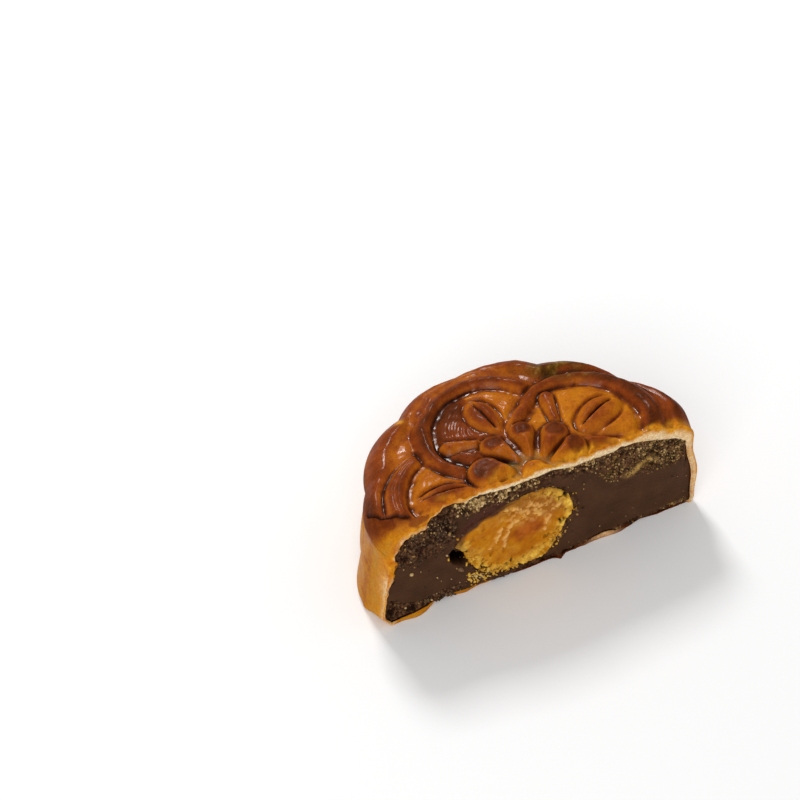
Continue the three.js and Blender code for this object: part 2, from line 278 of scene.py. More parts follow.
# The cake's outline: a circle with shallow lobes whose centre slides a little between base and rim.
# Directions are in degrees, anticlockwise from the right end of the cut. Notches are (direction, depth).
cake = dict(
    base=(-0.4, 0.6, 39.0), foot=1.6,
    rim=(-1.2, 0.6, 36.5), rimRound=4.6, wallTop=22.0,
    waist=dict(height=17, spread=4.5, depth=0.5),
    oval=dict(depth=1.0, longAxis=148, low=14, high=24),
    corner=dict(depth=1.3, spread=14, low=2, high=16),
    flange=dict(depth=1.1, at=166, spread=13, height=2.2),
    flangeTip=dict(depth=0.8, at=171, spread=2.0, height=1.4),
    swell=dict(depth=0.6, spread=7, height=10, reach=5),
    filled=dict(depth=1.6, spread=8, low=(0.5, 3.5), high=(18, 26)),
    notchDepth=1.9, notchSharpness=1.8, notchHalfAngle=15,
    notches=((1, 0.4), (29, 0.8), (61, 1.0), (69, -0.35), (92, 0.35), (120, 1.0), (151, 0.6), (180, 1.2),
             (210, 1.0), (330, 1.0)),
    crown=dict(height=30.2, lean=0.046, fall=0.0026),
    # The crust's thickness at the cut: over x on top and along the base, over height in the walls.
    layers=dict(
        top=((-37, 1.8), (-33, 2.0), (-30.6, 1.3), (-28.6, 2.2), (-27.4, 0.7), (-22, 0.7), (-18, 1.4), (-14, 1.3),
             (-8, 1.7), (-3, 1.7), (0, 1.7), (4, 2.3), (8, 2.2), (15, 1.8), (21, 2.2), (25, 2.7), (29, 3.5),
             (33, 3.0), (35, 2.2)),
        left=((0, 0.9), (3, 0.6), (11.8, 0.5), (13.2, 1.5), (15, 1.5), (17, 1.7), (19.5, 1.6), (21, 1.1), (23, 0.5),
              (24, 0.9)),
        right=((0, 0.7), (3, 1.1), (10, 1.6), (18, 1.7), (24, 2.0)),
        base=((-37, 0.8), (-34, 1.3), (-27, 1.6), (-25.5, 0.7), (-23, 0.7), (-21, 1.3), (-15, 1.3), (-12.5, 0.6),
              (9, 0.5), (12, 1.1), (15, 1.5), (18, 1.1), (21, 0.5), (37, 0.5)),
        behind=2.9, ragged=0.28, wallRagged=0.616),
)

# The moulded flower: hoops that pass over and under each other, with a field, a split bean and a
# slender leaf in each, and a ring of seeds round the boss. Petals are counted anticlockwise from the
# one at the back; lengths in mm. Along a hoop, 0 degrees points away from the boss. A bean is (distance
# out, half length, half width, shift), a leaf runs between two points, and a seed is (direction, distance
# out, radius).
flower = dict(
    centre=(-2.47, 0.70), firstAxis=94.9, petals=5, floor=-1.3, valley=0.22, warp=0.3, full=2.2,
    hoop=dict(
        centre=17.0, rise=2.2, innerEdge=2.0, outerEdge=2.8, under=1.6,
        inner={0: ((-110, 13.6), (-88, 13.1), (-70, 12.2), (-40, 11.5), (0, 11.2), (45, 10.8), (80, 10.9)),
               -1: ((-130, 13.4), (-122, 12.6), (-105, 11.8), (-84, 12.7), (-62, 12.4), (0, 12.1), (60, 12.1)),
               1: ((-60, 10.3), (0, 10.0), (30, 9.8), (70, 10.6))},
        outer={0: ((-120, 16.6), (-90, 17.2), (-62, 16.5), (-40, 15.0), (-20, 15.3), (90, 15.6)),
               -1: ((-130, 16.8), (-122, 16.0), (-105, 15.2), (-84, 16.0), (-30, 17.0), (0, 17.6), (60, 18.1)),
               1: ((-60, 15.8), (0, 15.2), (40, 14.6), (90, 14.2))},
        otherInner=11.4, otherOuter=16.6, line={1: (12.4, 0.5)}, otherLine=(13.6, 0.16), lineWidth=0.4,
        bridge={0: (-55, 50, 0.72), -1: (15, 100, 0.45)}, bridgeEnd=15, bridgeWidth=2.4),
    field=dict(rise=1.1, edge=1.6, gap=1.0, wave=1.35, ripple=0.04, deepRipple=0.09, uneven=0.16),
    bean=dict(rise=2.1, edge=2.6, slitWidth=0.36, slitDepth=1.2, slitAt=0.0, otherForm=(19.6, 6.6, 4.0, 0.0),
              forms={0: (19.0, 6.3, 3.7, -0.15), -1: (21.2, 7.2, 3.9, 0.3), 1: (19.6, 6.6, 3.5, -0.9)}),
    leaf=dict(rise=1.9, edge=1.7, smallRadius=1.5, radius=1.95, otherForm=(13.2, -5.0, 16.6, -11.0),
              forms={0: (12.4, -4.9, 15.9, -11.2), -1: (13.4, -5.2, 18.2, -11.0)}),
    seed=dict(rise=2.6, edge=2.0, tailStart=5.0, tailRadius=0.95, dish=0.5, dishShare=0.84,
              forms=((154.5, 10.4, 4.1), (114.5, 11.2, 2.95), (76.2, 11.1, 2.85), (39.8, 10.9, 3.15),
                     (10.0, 10.6, 2.9), (190.0, 10.6, 3.2))),
    boss=dict(radius=3.1, rise=2.0, edge=2.4, clear=6.5),
    rimBand=dict(rise=1.75, edge=2.6, hollow=0.75, ridgeWidth=4.2, hollowAt=7.0),
    # How brown each form baked, from its lowest part to its highest, and how much more or less than
    # that a seed's dish and the boss.
    tone=dict(hoop=(0.42, 0.76), rim=(0.42, 0.70), bean=(0.34, 0.68), paleBean=(0.16, 0.38), leaf=(0.28, 0.58),
              seed=(0.16, 0.26), seedDish=0.56, field=0.22, paleField=0.10, darkField=0.80, boss=-0.4),
    # Where the egg wash ran together: place, width and how much more it shines.
    shine=(((-25.2, 19.0), 3.2, 0.6), ((-20.8, 23.5), 1.6, 0.6), ((-2.5, 27.0), 2.2, 0.5), ((5.0, 13.5), 1.3, 0.8)),
)

# What the knife did to the cut edge: it pulled the top down over a short reach, pressed the relief to a
# share of its height, tore the crust back and chipped its foot. Tables run over x, lengths are in mm, and
# chips are (x, half width, depth).
knife = dict(
    pull=((-16, 0.0), (-12, 0.5), (-4, 0.9), (2, 0.9), (5, 1.4), (8, 2.3), (12, 2.6), (15, 2.6), (18, 2.1), (22, 1.7),
          (26, 2.3), (30, 2.8), (35, 3.3)), pullReach=2.6,
    press=dict(left=0.35, right=0.5, start=-0.5, end=(3.4, 2.2)),
    tear=dict(low=19, high=28, back=((-31, 0.4), (-28.6, 0.0), (-27.2, 1.4), (-25, 1.4), (-23.5, 2.2), (-21, 1.8),
                                     (-19, 1.0), (-16, 1.2), (-13, 0.6), (-8, 0.3), (-3, 0.0))),
    chips=((-30, 3, -0.6), (-24, 3.2, 2.2), (-15.5, 3.5, 0.8), (-10, 2.6, 1.3), (3.9, 0.8, -1.0), (18.5, 3.5, -0.4),
           (25, 2.6, 0.6)),
    chipHeight=3.0, follow=7.0, setBack=0.15,
)


def apart(angle, at):
    # Degrees, the short way round, between a direction in radians and one in degrees.
    return np.abs((np.degrees(angle) - at + 540) % 360 - 180)


def lobedOffset(angle, z):
    # Radius added in a direction: an oval stretch near the rim, the spread right corner, a low flange
    # at the left of the base with a tip on it, a swelling at the right end of the cut, and a pointed
    # notch between each two lobes, which is nearly filled up at the left end of the cut.
    oval, corner, swell, filled = (cake[key] for key in ("oval", "corner", "swell", "filled"))
    stretch = oval["depth"] * np.cos(2 * (angle - np.radians(oval["longAxis"])))
    spread = corner["depth"] * bell(apart(angle, 0) / corner["spread"])
    flange, tip = (low["depth"] * bell(apart(angle, low["at"]) / low["spread"]) * np.exp(-z / low["height"])
                   for low in (cake["flange"], cake["flangeTip"]))
    swelling = (swell["depth"] * bell(apart(angle, 0) / swell["spread"])
                * bell((z - swell["height"]) / swell["reach"]))
    filling = smoothStep(*filled["low"], z) * (1 - smoothStep(*filled["high"], z))
    swelling = swelling + filled["depth"] * bell(apart(angle, 180) / filled["spread"]) * filling
    share = sum(depth * np.maximum(0, 1 - apart(angle, at) / cake["notchHalfAngle"]) ** cake["notchSharpness"]
                for at, depth in cake["notches"])
    return (stretch * smoothStep(oval["low"], oval["high"], z) + spread * smoothStep(corner["low"], corner["high"], z)
            + flange + tip + swelling - cake["notchDepth"] * share)


def outlineAt(z):
    # Centre and radius at a height: base and rim circles blended by an S-shaped ramp, a slight waist
    # under the rim, and a rounded foot.
    low = 1 - smoothStep(0, cake["wallTop"], z)
    foot = np.clip(cake["foot"] - z, 0, cake["foot"])
    pinch = cake["waist"]["depth"] * bell((z - cake["waist"]["height"]) / cake["waist"]["spread"])
    bx, by, br = cake["base"]
    rx, ry, rr = cake["rim"]
    radius = mix(rr, br, low ** 0.9) - pinch - (cake["foot"] - np.sqrt(cake["foot"] ** 2 - foot ** 2))
    return mix(rx, bx, low), mix(ry, by, low), radius


def crownHeight(x, y):
    # The dome without its relief: a paraboloid that leans, pulled down beside the cut.
    fx, fy = x - flower["centre"][0], y - flower["centre"][1]
    pulled = readTable(x, knife["pull"])
    crown = cake["crown"]
    return (crown["height"] + crown["lean"] * fx - crown["fall"] * (fx * fx + fy * fy)
            - pulled * bell(np.maximum(y, 0) / knife["pullReach"]))


def torn(x, z=knife["tear"]["high"], low=knife["tear"]["low"]):
    # How far the crust tore back: as the table says at the top, and less and less down to a height.
    return readTable(x, knife["tear"]["back"]) * smoothStep(low, knife["tear"]["high"], z)


def topLayer(x, y):
    # Thickness of the top: ragged and as the table says at the cut, even and thicker behind it.
    wavy = 0.9 * noise((x, 0, 3), 1.6, 13, 2) + 0.7 * noise((x, 0, 3), 0.6, 14)
    atCut = readTable(x, cake["layers"]["top"]) + cake["layers"]["ragged"] * wavy
    return mix(atCut, np.maximum(atCut, cake["layers"]["behind"]), smoothStep(0.8, 4.0, y - torn(x)))


def wallLayer(angle, z):
    # Thickness of the side wall: as the tables say at the two ends of the cut, ragged at the left one.
    left, right = (readTable(z, cake["layers"][side]) for side in ("left", "right"))
    left = left + cake["layers"]["wallRagged"] * noise((0 * z, z, 7), 1.0, 17, 3) * smoothStep(9, 13, z)
    return mix(right, left, smoothStep(0.3, 2.8, angle))


def baseLayer(x):
    # Thickness of the base: as the table says, and ragged.
    return readTable(x, cake["layers"]["base"]) + cake["layers"]["ragged"] * noise((x, 0, 5), 1.4, 15, 2)


def crustCut(x, z):
    # Where the cut runs through the crust: the tear, the chips along the base, and a ragged line.
    back = torn(x, z)
    chips = sum(deep * bell((x - at) / half) for at, half, deep in knife["chips"]) * np.exp(-z / knife["chipHeight"])
    ragged = 0.22 * noise((x, z, 0), 2.6, 11, 3) + 0.35 * noise((x, z, 0), 1.5, 12, 2) * smoothStep(0.3, 2, back)
    ragged = ragged + 0.5 * noise((x, z, 0), 1.1, 16, 2) * (1 - smoothStep(-27, -17, x)) * smoothStep(3, 8, z)
    return back + chips + ragged + knife["setBack"]


def besideCut(x, y, z, straight):
    # Moves points of a straight side on to the cut, and those behind them less and less.
    return y + (crustCut(x, z) - straight) * (1 - smoothStep(0, knife["follow"], y - straight))


def turned(x, y, direction):
    # Along and across a line that starts at the flower's centre.
    c, s = np.cos(direction), np.sin(direction)
    return x * c + y * s, x * s - y * c


def dropInside(along, across, small, large, smallRadius, largeRadius):
    # Distance inside a drop: a small circle and a larger one further out, joined by straight tangents.
    length = large - small
    lean = (smallRadius - largeRadius) / length
    upright = np.sqrt(1 - lean * lean)
    side, on = np.abs(across), along - small
    k = upright * on - lean * side
    outsideBy = np.where(k < 0, np.hypot(side, on) - smallRadius,
                         np.where(k > upright * length, np.hypot(side, on - length) - largeRadius,
                                  upright * side + lean * on - smallRadius))
    return -outsideBy


def byPetal(petal, forms, otherForm):
    # Each point takes the values of the petal it lies in.
    return [np.select([petal == which for which in forms], [form[k] for form in forms.values()], otherForm[k])
            for k in range(len(otherForm))]


def petalRelief(a, b, edge, petal):
    # Inside one hoop: the larger of a flat field, a split bean and a leaf. Also gives each one's share.
    bean, leaf, field = flower["bean"], flower["leaf"], flower["field"]
    centre, half, halfWidth, shift = byPetal(petal, bean["forms"], bean["otherForm"])
    reach = np.sqrt(((a - centre) / half) ** 2 + ((b - shift) / halfWidth) ** 2)
    beanInside = halfWidth * (1 - reach)
    along = 1 - np.abs(a - centre) / half
    slit = bell((b - bean["slitAt"]) / bean["slitWidth"]) * smoothStep(0.1, 0.4, along)
    beanHeight = bean["rise"] * pad(beanInside, bean["edge"])
    beanHeight = beanHeight - np.minimum(beanHeight, bean["slitDepth"] * slit)

    fromA, fromB, toA, toB = byPetal(petal, leaf["forms"], leaf["otherForm"])
    length = np.hypot(toA - fromA, toB - fromB)
    ua, ub = (toA - fromA) / length, (toB - fromB) / length
    leafInside = dropInside((a - fromA) * ua + (b - fromB) * ub, (b - fromB) * ua - (a - fromA) * ub,
                            0, length, leaf["smallRadius"], leaf["radius"])
    leafHeight = leaf["rise"] * pad(leafInside, leaf["edge"])

    inBean, inLeaf = (smoothStep(-0.45, 0.1, inside) for inside in (beanInside, leafInside))
    ripple = np.where((b < 0) & (petal == 0), field["deepRipple"], field["ripple"])
    ripple = ripple * np.sin(2 * np.pi * edge / field["wave"])
    fieldHeight = field["rise"] * pad(edge - field["gap"], field["edge"]) + ripple * smoothStep(1.2, 2.6, edge)
    fieldHeight = fieldHeight + field["uneven"] * noise((a, b, 0), 2.8, 9, 2) * smoothStep(1.2, 3.0, edge)
    fieldHeight = fieldHeight * (1 - 0.9 * inBean) * (1 - 0.9 * inLeaf)
    height = smoothMax(smoothMax(fieldHeight, beanHeight, flower["valley"]), leafHeight, flower["valley"])
    return height, inBean, inLeaf, slit


def hoopRadius(side, petal, a, b):
    # A hoop's inner or outer radius at the turn where a point lies, read from its petal's table.
    hoop = flower["hoop"]
    turn = np.degrees(np.arctan2(b, a - hoop["centre"]))
    radius = np.full(np.shape(turn), float(hoop["otherInner" if side == "inner" else "otherOuter"]))
    for which, table in hoop[side].items():
        radius = np.where(petal == which, readTable(turn, table), radius)
    return radius


def relief(px, py, fromRim):
    # Height of the moulding above its lowest grooves, with masks that say what each point belongs to.
    x = px - flower["centre"][0] + flower["warp"] * noise((px, py, 0), 6.0, 3, 2)
    y = py - flower["centre"][1] + flower["warp"] * noise((px, py, 9), 6.0, 4, 2)
    reach, angle = np.hypot(x, y), np.arctan2(y, x)
    count = flower["petals"]
    step = 2 * np.pi / count
    first = np.radians(flower["firstAxis"])
    petal = np.round((angle - first) / step)

    # Each hoop passes over the one before it and under the one after it, which dips beside it.
    hoop = flower["hoop"]
    a0, b0 = turned(x, y, first + petal * step)
    a1, b1 = turned(x, y, first + (petal - 1) * step)
    own, before = ((petal + 2 - k) % count - 2 for k in (0, 1))
    beyond = np.hypot(a1 - hoop["centre"], b1) - hoopRadius("outer", before, a1, b1)
    over = (b0 > 0) & (beyond < 0)
    dip = np.where((b0 > 0) & ~over, 0.1 + 0.9 * smoothStep(0, hoop["under"], beyond), 1.0)
    a, b, petal = (np.where(over, p, q) for p, q in ((a1, a0), (b1, b0), (before, own)))
    r = np.hypot(a - hoop["centre"], b)
    turn = np.degrees(np.arctan2(b, a - hoop["centre"]))
    innerEdge, outerEdge = hoopRadius("inner", petal, a, b), hoopRadius("outer", petal, a, b)

    # The hoop: a broad ridge, with one fine line round it.
    ridge = hoop["rise"] * pad(r - innerEdge, hoop["innerEdge"]) * pad(outerEdge - r, hoop["outerEdge"])
    lineAt, lineDepth = byPetal(petal, hoop["line"], hoop["otherLine"])
    ridge = np.maximum(ridge - lineDepth * bell((r - lineAt) / hoop["lineWidth"]), 0.3 * ridge)

    # Outside the hoops: a ridge along the rim, hollows where the hoops leave room inside it, and
    # bridges of dough that fill the hollow beside some of them.
    band = flower["rimBand"]
    sunk = smoothStep(band["ridgeWidth"], band["hollowAt"], fromRim)
    bandHeight = band["rise"] * pad(r - outerEdge, band["edge"]) * (1 - band["hollow"] * sunk)
    inside, inBean, inLeaf, slit = petalRelief(a, b, innerEdge - r, petal)
    within, onHoop = r < innerEdge, r <= outerEdge
    low, high, share = byPetal(petal, hoop["bridge"], (0, 0, 0))
    end = hoop["bridgeEnd"]
    bridge = share * smoothStep(low - end, low + end, turn) * (1 - smoothStep(high - end, high + end, turn))
    bridged = bridge * hoop["rise"] * bell((r - outerEdge) / hoop["bridgeWidth"])
    height = np.where(within, inside, np.maximum(bridged, np.where(onHoop, ridge, bandHeight))) * dip

    # The seeds round the boss: drops with a dished top and the broad end outwards.
    seed = flower["seed"]
    seedInside, dish = np.full(r.shape, -9.0), np.zeros(r.shape)
    for degrees, head, radius in seed["forms"]:
        out, side = turned(x, y, np.radians(degrees))
        inDrop = dropInside(out, side, seed["tailStart"], head, seed["tailRadius"], radius)
        seedInside = np.maximum(seedInside, inDrop)
        dish = dish + 1 - smoothStep(0.55, 1.0, np.hypot(out - head, side) / (seed["dishShare"] * radius))
    seedHeight = seed["rise"] * pad(seedInside, seed["edge"]) - seed["dish"] * dish
    inSeed = smoothStep(-0.35, 0.25, seedInside)
    outside = smoothStep(10.6, 13.6, reach)
    height = smoothMax(height * outside * (1 - inSeed), seedHeight * inSeed, flower["valley"])

    boss = flower["boss"]
    bossHeight = boss["rise"] * pad(boss["radius"] - reach, boss["edge"])
    height = np.where(reach < boss["clear"], smoothMax(height, bossHeight, flower["valley"]), height)

    # How brown each part baked: its own tone, and more on what stands highest. Beyond the forms' tones
    # the right of the rim, its left end, and the back hoop's left side are darker and its back lighter.
    tones = flower["tone"]
    share = height / flower["full"]
    high = smoothStep(0.55, 1.0, share)
    leftField = (b < 0) & (petal == 0)
    rightRim = smoothStep(18, 27, x)
    tone = np.where(onHoop, mix(*tones["hoop"], high), mix(*tones["rim"], high)) + 0.2 * rightRim
    tone = tone + 0.2 * smoothStep(8, 14, x) * (1 - rightRim) * (r > outerEdge) + 0.3 * smoothStep(31.5, 35.5, -px)
    tone = tone - 0.03 * (petal == -1) + 0.12 * leftField * onHoop - 0.10 * (petal == 0) * bell((turn + 5) / 28)
    beanTone = np.where(petal == -1, mix(*tones["paleBean"], high), mix(*tones["bean"], high))
    fieldTone = np.select([leftField, petal == -1], [tones["darkField"], tones["paleField"]], tones["field"])
    petalTone = mix(mix(fieldTone, beanTone, inBean), mix(*tones["leaf"], high), inLeaf)
    seedTone = mix(*tones["seed"], high) + tones["seedDish"] * np.clip(1.2 * dish, 0, 1)
    tone = mix(np.where(within, petalTone, tone), seedTone, inSeed)
    tone = tone + tones["boss"] * (1 - smoothStep(2.2, 3.6, reach))

    # How strongly the grooves are painted dark, painted shade with some syrup in it: most of it inside the back hoop,
    # in the beans' slits and at the right.
    syrupAndShade = np.where((petal == 0) & (turn < 15), bell((r - innerEdge) / 1.6), 0)
    syrupAndShade = np.maximum(syrupAndShade, np.where(within, slit * inBean, 0)) + np.where(petal == 1, 0.35, 0)
    syrupAndShade = syrupAndShade + 0.6 * bell(np.hypot(px - 10.5, py - 19.0) / 4.0)
    syrupAndShade = syrupAndShade + 0.3 * (1 - smoothStep(14, 17, reach)) * smoothStep(5, 7, reach)
    syrupAndShade = np.clip(0.42 + syrupAndShade - 0.22 * (r > outerEdge + 0.5) * (petal != 1), 0, 1)

    # Egg wash: wettest low between the forms, with bare places at the back and at the left.
    wet = (1 - smoothStep(0.12, 0.42, share)) * mix(0.3, 1.0, smoothStep(12, 15, reach))
    wet = np.maximum(wet * np.where(petal == 1, 0.3, 1.0), 0.3 * leftField * within * (1 - inBean) * (1 - inLeaf))
    for at, width, less in (((9, 26), 3.0, 0.85), ((-17, 13.5), 5.0, 0.6)):
        wet = wet * (1 - less * bell(np.hypot(px - at[0], py - at[1]) / width))
    dished = np.clip(dish, 0, 1)
    wet = wet * (1 - 0.8 * dished)
    for at, width, more in flower["shine"]:
        wet = wet + more * bell(np.hypot(px - at[0], py - at[1]) / width)
    hollow = smoothStep(3.0, 3.8, reach) * (1 - smoothStep(5.0, 6.6, reach)) * (1 - inSeed)
    return flower["floor"] + height, dict(tone=tone, syrupAndShade=syrupAndShade, hollow=hollow, wet=wet, dished=dished)


def cakePoint(radiusShare, angle, inset=0, followCut=True):
    # A point of the top: radius and angle are carried over the dome and down the rounded rim. Inset
    # goes from 0 outside to 1 at the paste. The straight side is bent to follow the cut.
    rx, ry, rr = cake["rim"]
    roundRadius = cake["rimRound"]
    flat = rr - inset * wallLayer(angle, cake["wallTop"]) + lobedOffset(angle, cake["wallTop"]) - roundRadius
    travelled = radiusShare * (flat + np.pi / 2 * roundRadius)
    bend = np.maximum(0, travelled - flat) / roundRadius
    radius = np.minimum(travelled, flat) + roundRadius * np.sin(bend)
    drop = roundRadius * (1 - np.cos(bend))
    x, y = rx + radius * np.cos(angle), ry + radius * np.sin(angle)
    z = crownHeight(x, y) - drop - inset * topLayer(x, y)
    if followCut:
        y = besideCut(x, y, z, ry)
        z = crownHeight(x, y) - drop - inset * topLayer(x, y)
    return x, y, z, drop


def wallPoint(angle, t, inset=0):
    # A point of the side wall, t from 0 under the rim to 1 at the base: the outline at its height, with
    # the lobes, and a sine that spaces the heights more closely near the base.
    edgeX, _, start, _ = cakePoint(1.0, angle, inset, False)
    down = np.sin(t * np.pi / 2)
    z = mix(start, inset * baseLayer(edgeX), down)
    hx, hy, hr = outlineAt(z)
    join = (cake["rim"][2] - outlineAt(start)[2]) * (1 - down) ** 3
    radius = hr - inset * wallLayer(angle, np.minimum(z, cake["wallTop"])) + lobedOffset(angle, z) + join
    x, y = hx + radius * np.cos(angle), hy + radius * np.sin(angle)
    return x, besideCut(x, y, z, cake["rim"][1]), z


def basePoint(radiusShare, angle, inset=0):
    # A point of the underside, or with inset 1 of the base layer's upper face: radius and angle over
    # the foot's outline.
    bx, by, _ = cake["base"]
    edge = outlineAt(np.zeros(1))[2][0] + lobedOffset(angle, 0.0) - (wallLayer(angle, 0.0) if inset else 0.05)
    x, y = bx + radiusShare * edge * np.cos(angle), by + radiusShare * edge * np.sin(angle)
    z = baseLayer(x) if inset else 0 * x
    return x, besideCut(x, y, z, by), z


# The crust: cells under 0.25 mm on the moulded top, coarser ones below, where only broad forms show.
crust = dict(
    topCells=160, wallRows=64, wallColumns=280, baseCells=44, sectionRows=14, insideCells=20, insideRows=8,
    crease=dict(path=((-35.9, 13.6), (-36.2, 10.3), (-35.1, 7.7), (-33.5, 6.4), (-32.0, 4.9), (-30.9, 3.8),
                      (-29.4, 3.1)), width=0.28, depth=0.9, below=0.45),
    bulge=dict(top=0.25, right=0.6, base=0.12, left=0.3), rolled=0.24,
    wrinkles=((18.0, 0.30, 211), (13.0, 0.38, 212), (8.5, 0.34, 213), (4.5, 0.22, 214)),  # height, depth, seed
    masks=("brown", "groove", "edge", "glaze", "dough", "hollow", "moulded", "olive"),
)


def redSpots(x, y, z):
    # Small spots, near the torn left end of the cut, where syrup in the dough scorched.
    spots = smoothStep(-0.05, 0.25, noise((x, y, z), 2.0, 29, 2))
    return spots * (1 - smoothStep(-20, -12, x)) * smoothStep(15, 19, z)


def bakedWall(x, y, z):
    # How brown the side wall is: brown under the rim, tan below and near the cut, and behind the cut
    # blotched and streaked, most of all on the crest of each lobe.
    low = mix(22.0, 16.8, smoothStep(1, 9, y)) + 1.6 * noise((x, y, z), 5.0, 25, 2)
    crest = np.clip(1 + lobedOffset(np.arctan2(y - cake["rim"][1], x - cake["rim"][0]), z) / 1.6, 0, 1)
    blotch = smoothStep(-0.15, 0.5, noise((x, y, z), (7.0, 7.0, 10.0), 27, 3)) * (0.4 + 0.6 * crest)
    streak = noise((x, y, z), (1.8, 1.8, 14.0), 28, 2)
    tan = 0.14 + 0.12 * streak + smoothStep(3, 12, y) * (0.30 * blotch + 0.10 * crest * smoothStep(4, 16, z))
    dark = mix(0.55, 0.95, smoothStep(2, 7, y)) + 0.3 * redSpots(x, y, z)
    return mix(tan, np.minimum(dark, 1), smoothStep(low, low + 6.0, z))


def cutEdge(x, y, z):
    # How much of the amber shows that borders the cut: narrow at the upper left, wider below it.
    upperLeft = (1 - smoothStep(-16, -8, x)) * smoothStep(19.5, 24, z)
    behind = y - crustCut(x, z) + 1.0 * noise((x, y, z), 2.6, 22, 2) + 1.5 * upperLeft
    return (1 - smoothStep(0.3, mix(4.6, 1.8, smoothStep(-12, 2, x)), behind)) * (1 - 0.85 * redSpots(x, y, z))


def wallCreases(angle, z):
    # Depth of the wrinkles that run round the wall, each at its own height, wavering and fading in and out.
    along = 38 * angle  # mm round the wall
    depth = 0 * (along + z)
    for height, strength, seed in crust["wrinkles"]:
        off = z - height - 1.8 * noise((along, 0 * along, 0 * along), 9.0, seed, 2)
        fading = smoothStep(-0.1, 0.4, noise((along + 0 * z, z, 0 * z), 6.0, seed + 10, 2))
        depth = depth + strength * bell(off / 0.5) * fading
    return depth


def mouldedTop(radius, angle, cell):
    # The top: the dome and rounded rim, with the relief laid on, pressed flatter and lumpy beside the
    # cut, and at the left a crease below which it is smooth. Baking tones and glaze follow its height,
    # and painted shade darkens its grooves, valleys and crease.
    x, y, z, drop = cakePoint(radius, angle)
    rx, ry, rr = cake["rim"]
    fromRim = rr + lobedOffset(np.arctan2(y - ry, x - rx), cake["wallTop"]) - np.hypot(x - rx, y - ry)
    lift, masks = relief(x, y, fromRim)
    lift = blurred(lift, 0.2, cell)
    press = knife["press"]
    toRight = smoothStep(-6, 4, x)
    behind = y - crustCut(x, z) + 0.9 * noise((x, y, 0), 3.0, 5)
    pressed = smoothStep(press["start"], mix(*press["end"], toRight), behind)
    kept = mix(mix(press["left"], press["right"], toRight), 1, pressed)
    uneven = 0.18 * noise((x, y, 0), 7.0, 1, 2) + 0.16 * noise((x, y, 0), 1.9, 2, 2)
    lumps = (1 - pressed) * (0.42 * noise((x, y, 0), 1.6, 6, 3) + 0.16 * noise((x, y, 0), 0.8, 8) + 0.15)
    crease = crust["crease"]
    fromCrease = fromPath(x, y, crease["path"]) + 0.1 * noise((x, y, 0), 1.2, 7)
    beyond = smoothStep(0.0, mix(0.5, 2.2, smoothStep(7, 12, y)), -fromCrease)
    beyond = beyond * (1 - smoothStep(9.5, 14.5, y)) * (x < -26)
    creased = bell(fromCrease / crease["width"]) * (1 - smoothStep(9.5, 13.0, y)) * (1 - smoothStep(-31, -29.4, x))
    fade = np.clip(1 - 1.3 * drop / cake["rimRound"], 0, 1) * (1 - beyond)
    z = z + (kept * lift + lumps) * fade + uneven * (1 - drop / 6)
    z = z - (crease["depth"] * creased + crease["below"] * beyond) * (1 - smoothStep(3.4, 4.6, drop))

    near, wide = (z - blurred(z, across, cell) for across in (0.55, 1.8))
    # Painted shade: grooves and the crease are painted near black by how far a point lies below its surroundings, and
    # grooves are darkest where there is syrup.
    groove = smoothStep(0.12, 0.46, -1.1 * near - 0.40 * wide) * (0.35 + 0.65 * pressed) * masks["syrupAndShade"]
    groove = np.maximum(groove, 0.9 * smoothStep(0.15, 0.7, creased))
    # Valleys are painted browner: painted shade.
    valley = smoothStep(0.10, 0.60, -near - 0.5 * wide) * pressed
    tone = masks["tone"] + 0.14 * smoothStep(-0.3, 0.8, wide) + 0.6 * valley + 0.24 * noise((x, y, 0), 5.0, 21, 3)
    tone = blurred(np.clip(tone, 0, 1), 0.3, cell)
    tone = mix(tone, bakedWall(x, y, z), np.maximum(beyond, smoothStep(2.4, 4.4, drop)))
    edge = cutEdge(x, y, z) * (0.55 + 0.45 * smoothStep(-0.35, 0.15, noise((x, y, 0), 1.5, 26, 2)))
    edge = np.maximum(edge, bell(np.hypot((x + 19.6) / 1.0, (y - 28.0) / 0.9)))  # one amber spot on the far rim
    patchy = smoothStep(-0.25, 0.35, noise((x, y, 0), 2.2, 23, 2))
    glaze = np.clip(0.20 + 0.70 * masks["wet"], 0, 1) * (1 - smoothStep(0.8, 2.6, drop)) * (0.3 + 0.7 * pressed)
    glaze = np.maximum(glaze * (0.3 + 0.7 * patchy), 0.7 * (1 - pressed) * patchy)
    olive = bell(np.hypot((x - 17.5) / 7.5, (y - 24.0 + 0.45 * (x - 17.5)) / 3.6) ** 1.5)  # a stain at the back
    return dict(p=(x, y, z), brown=tone, groove=groove, edge=edge, hollow=masks["hollow"],
                glaze=glaze * (1 - beyond) * (1 - 0.8 * masks["dished"]),
                moulded=(1 - smoothStep(2.0, 4.2, drop)) * (1 - beyond),
                olive=olive * smoothStep(-0.6, 0.2, noise((x, y, 0), 3.0, 24, 2)))


def sideWall(around, down):
    # The side: the lobed wall, swelling a little in and out, with wrinkles at the back whose creases are
    # painted browner as shade, and a line of bare dough beside the cut at its left end.
    x, y, z = wallPoint(around, down)
    wrinkled = wallCreases(around, z) * smoothStep(5, 11, y) * smoothStep(0.02, 0.15, down)
    wobble = 0.16 * noise((x, y, z), 6.0, 31, 2) * smoothStep(0, 0.2, down) - wrinkled
    x, y = x + wobble * np.cos(around), y + wobble * np.sin(around) * smoothStep(0, 2, y)
    beside = (y - crustCut(x, z)) * np.sign(-x)
    bare = 0.38 * (1 - smoothStep(13, 16, z)) * bell(beside / 0.7) + 0.3 * bell((z - 12.5) / 3) * bell(beside / 2.2)
    # The wrinkles' creases are painted browner: painted shade.
    return dict(p=(x, y, z), brown=np.clip(bakedWall(x, y, z) + 0.9 * wrinkled, 0, 1), dough=bare * (x < 0),
                edge=cutEdge(x, y, z) * mix(0.35, 1, smoothStep(9, 14, z)),
                glaze=0.16 * smoothStep(5, 11, y) + 0.03 * (1 - smoothStep(0.05, 0.35, down)))


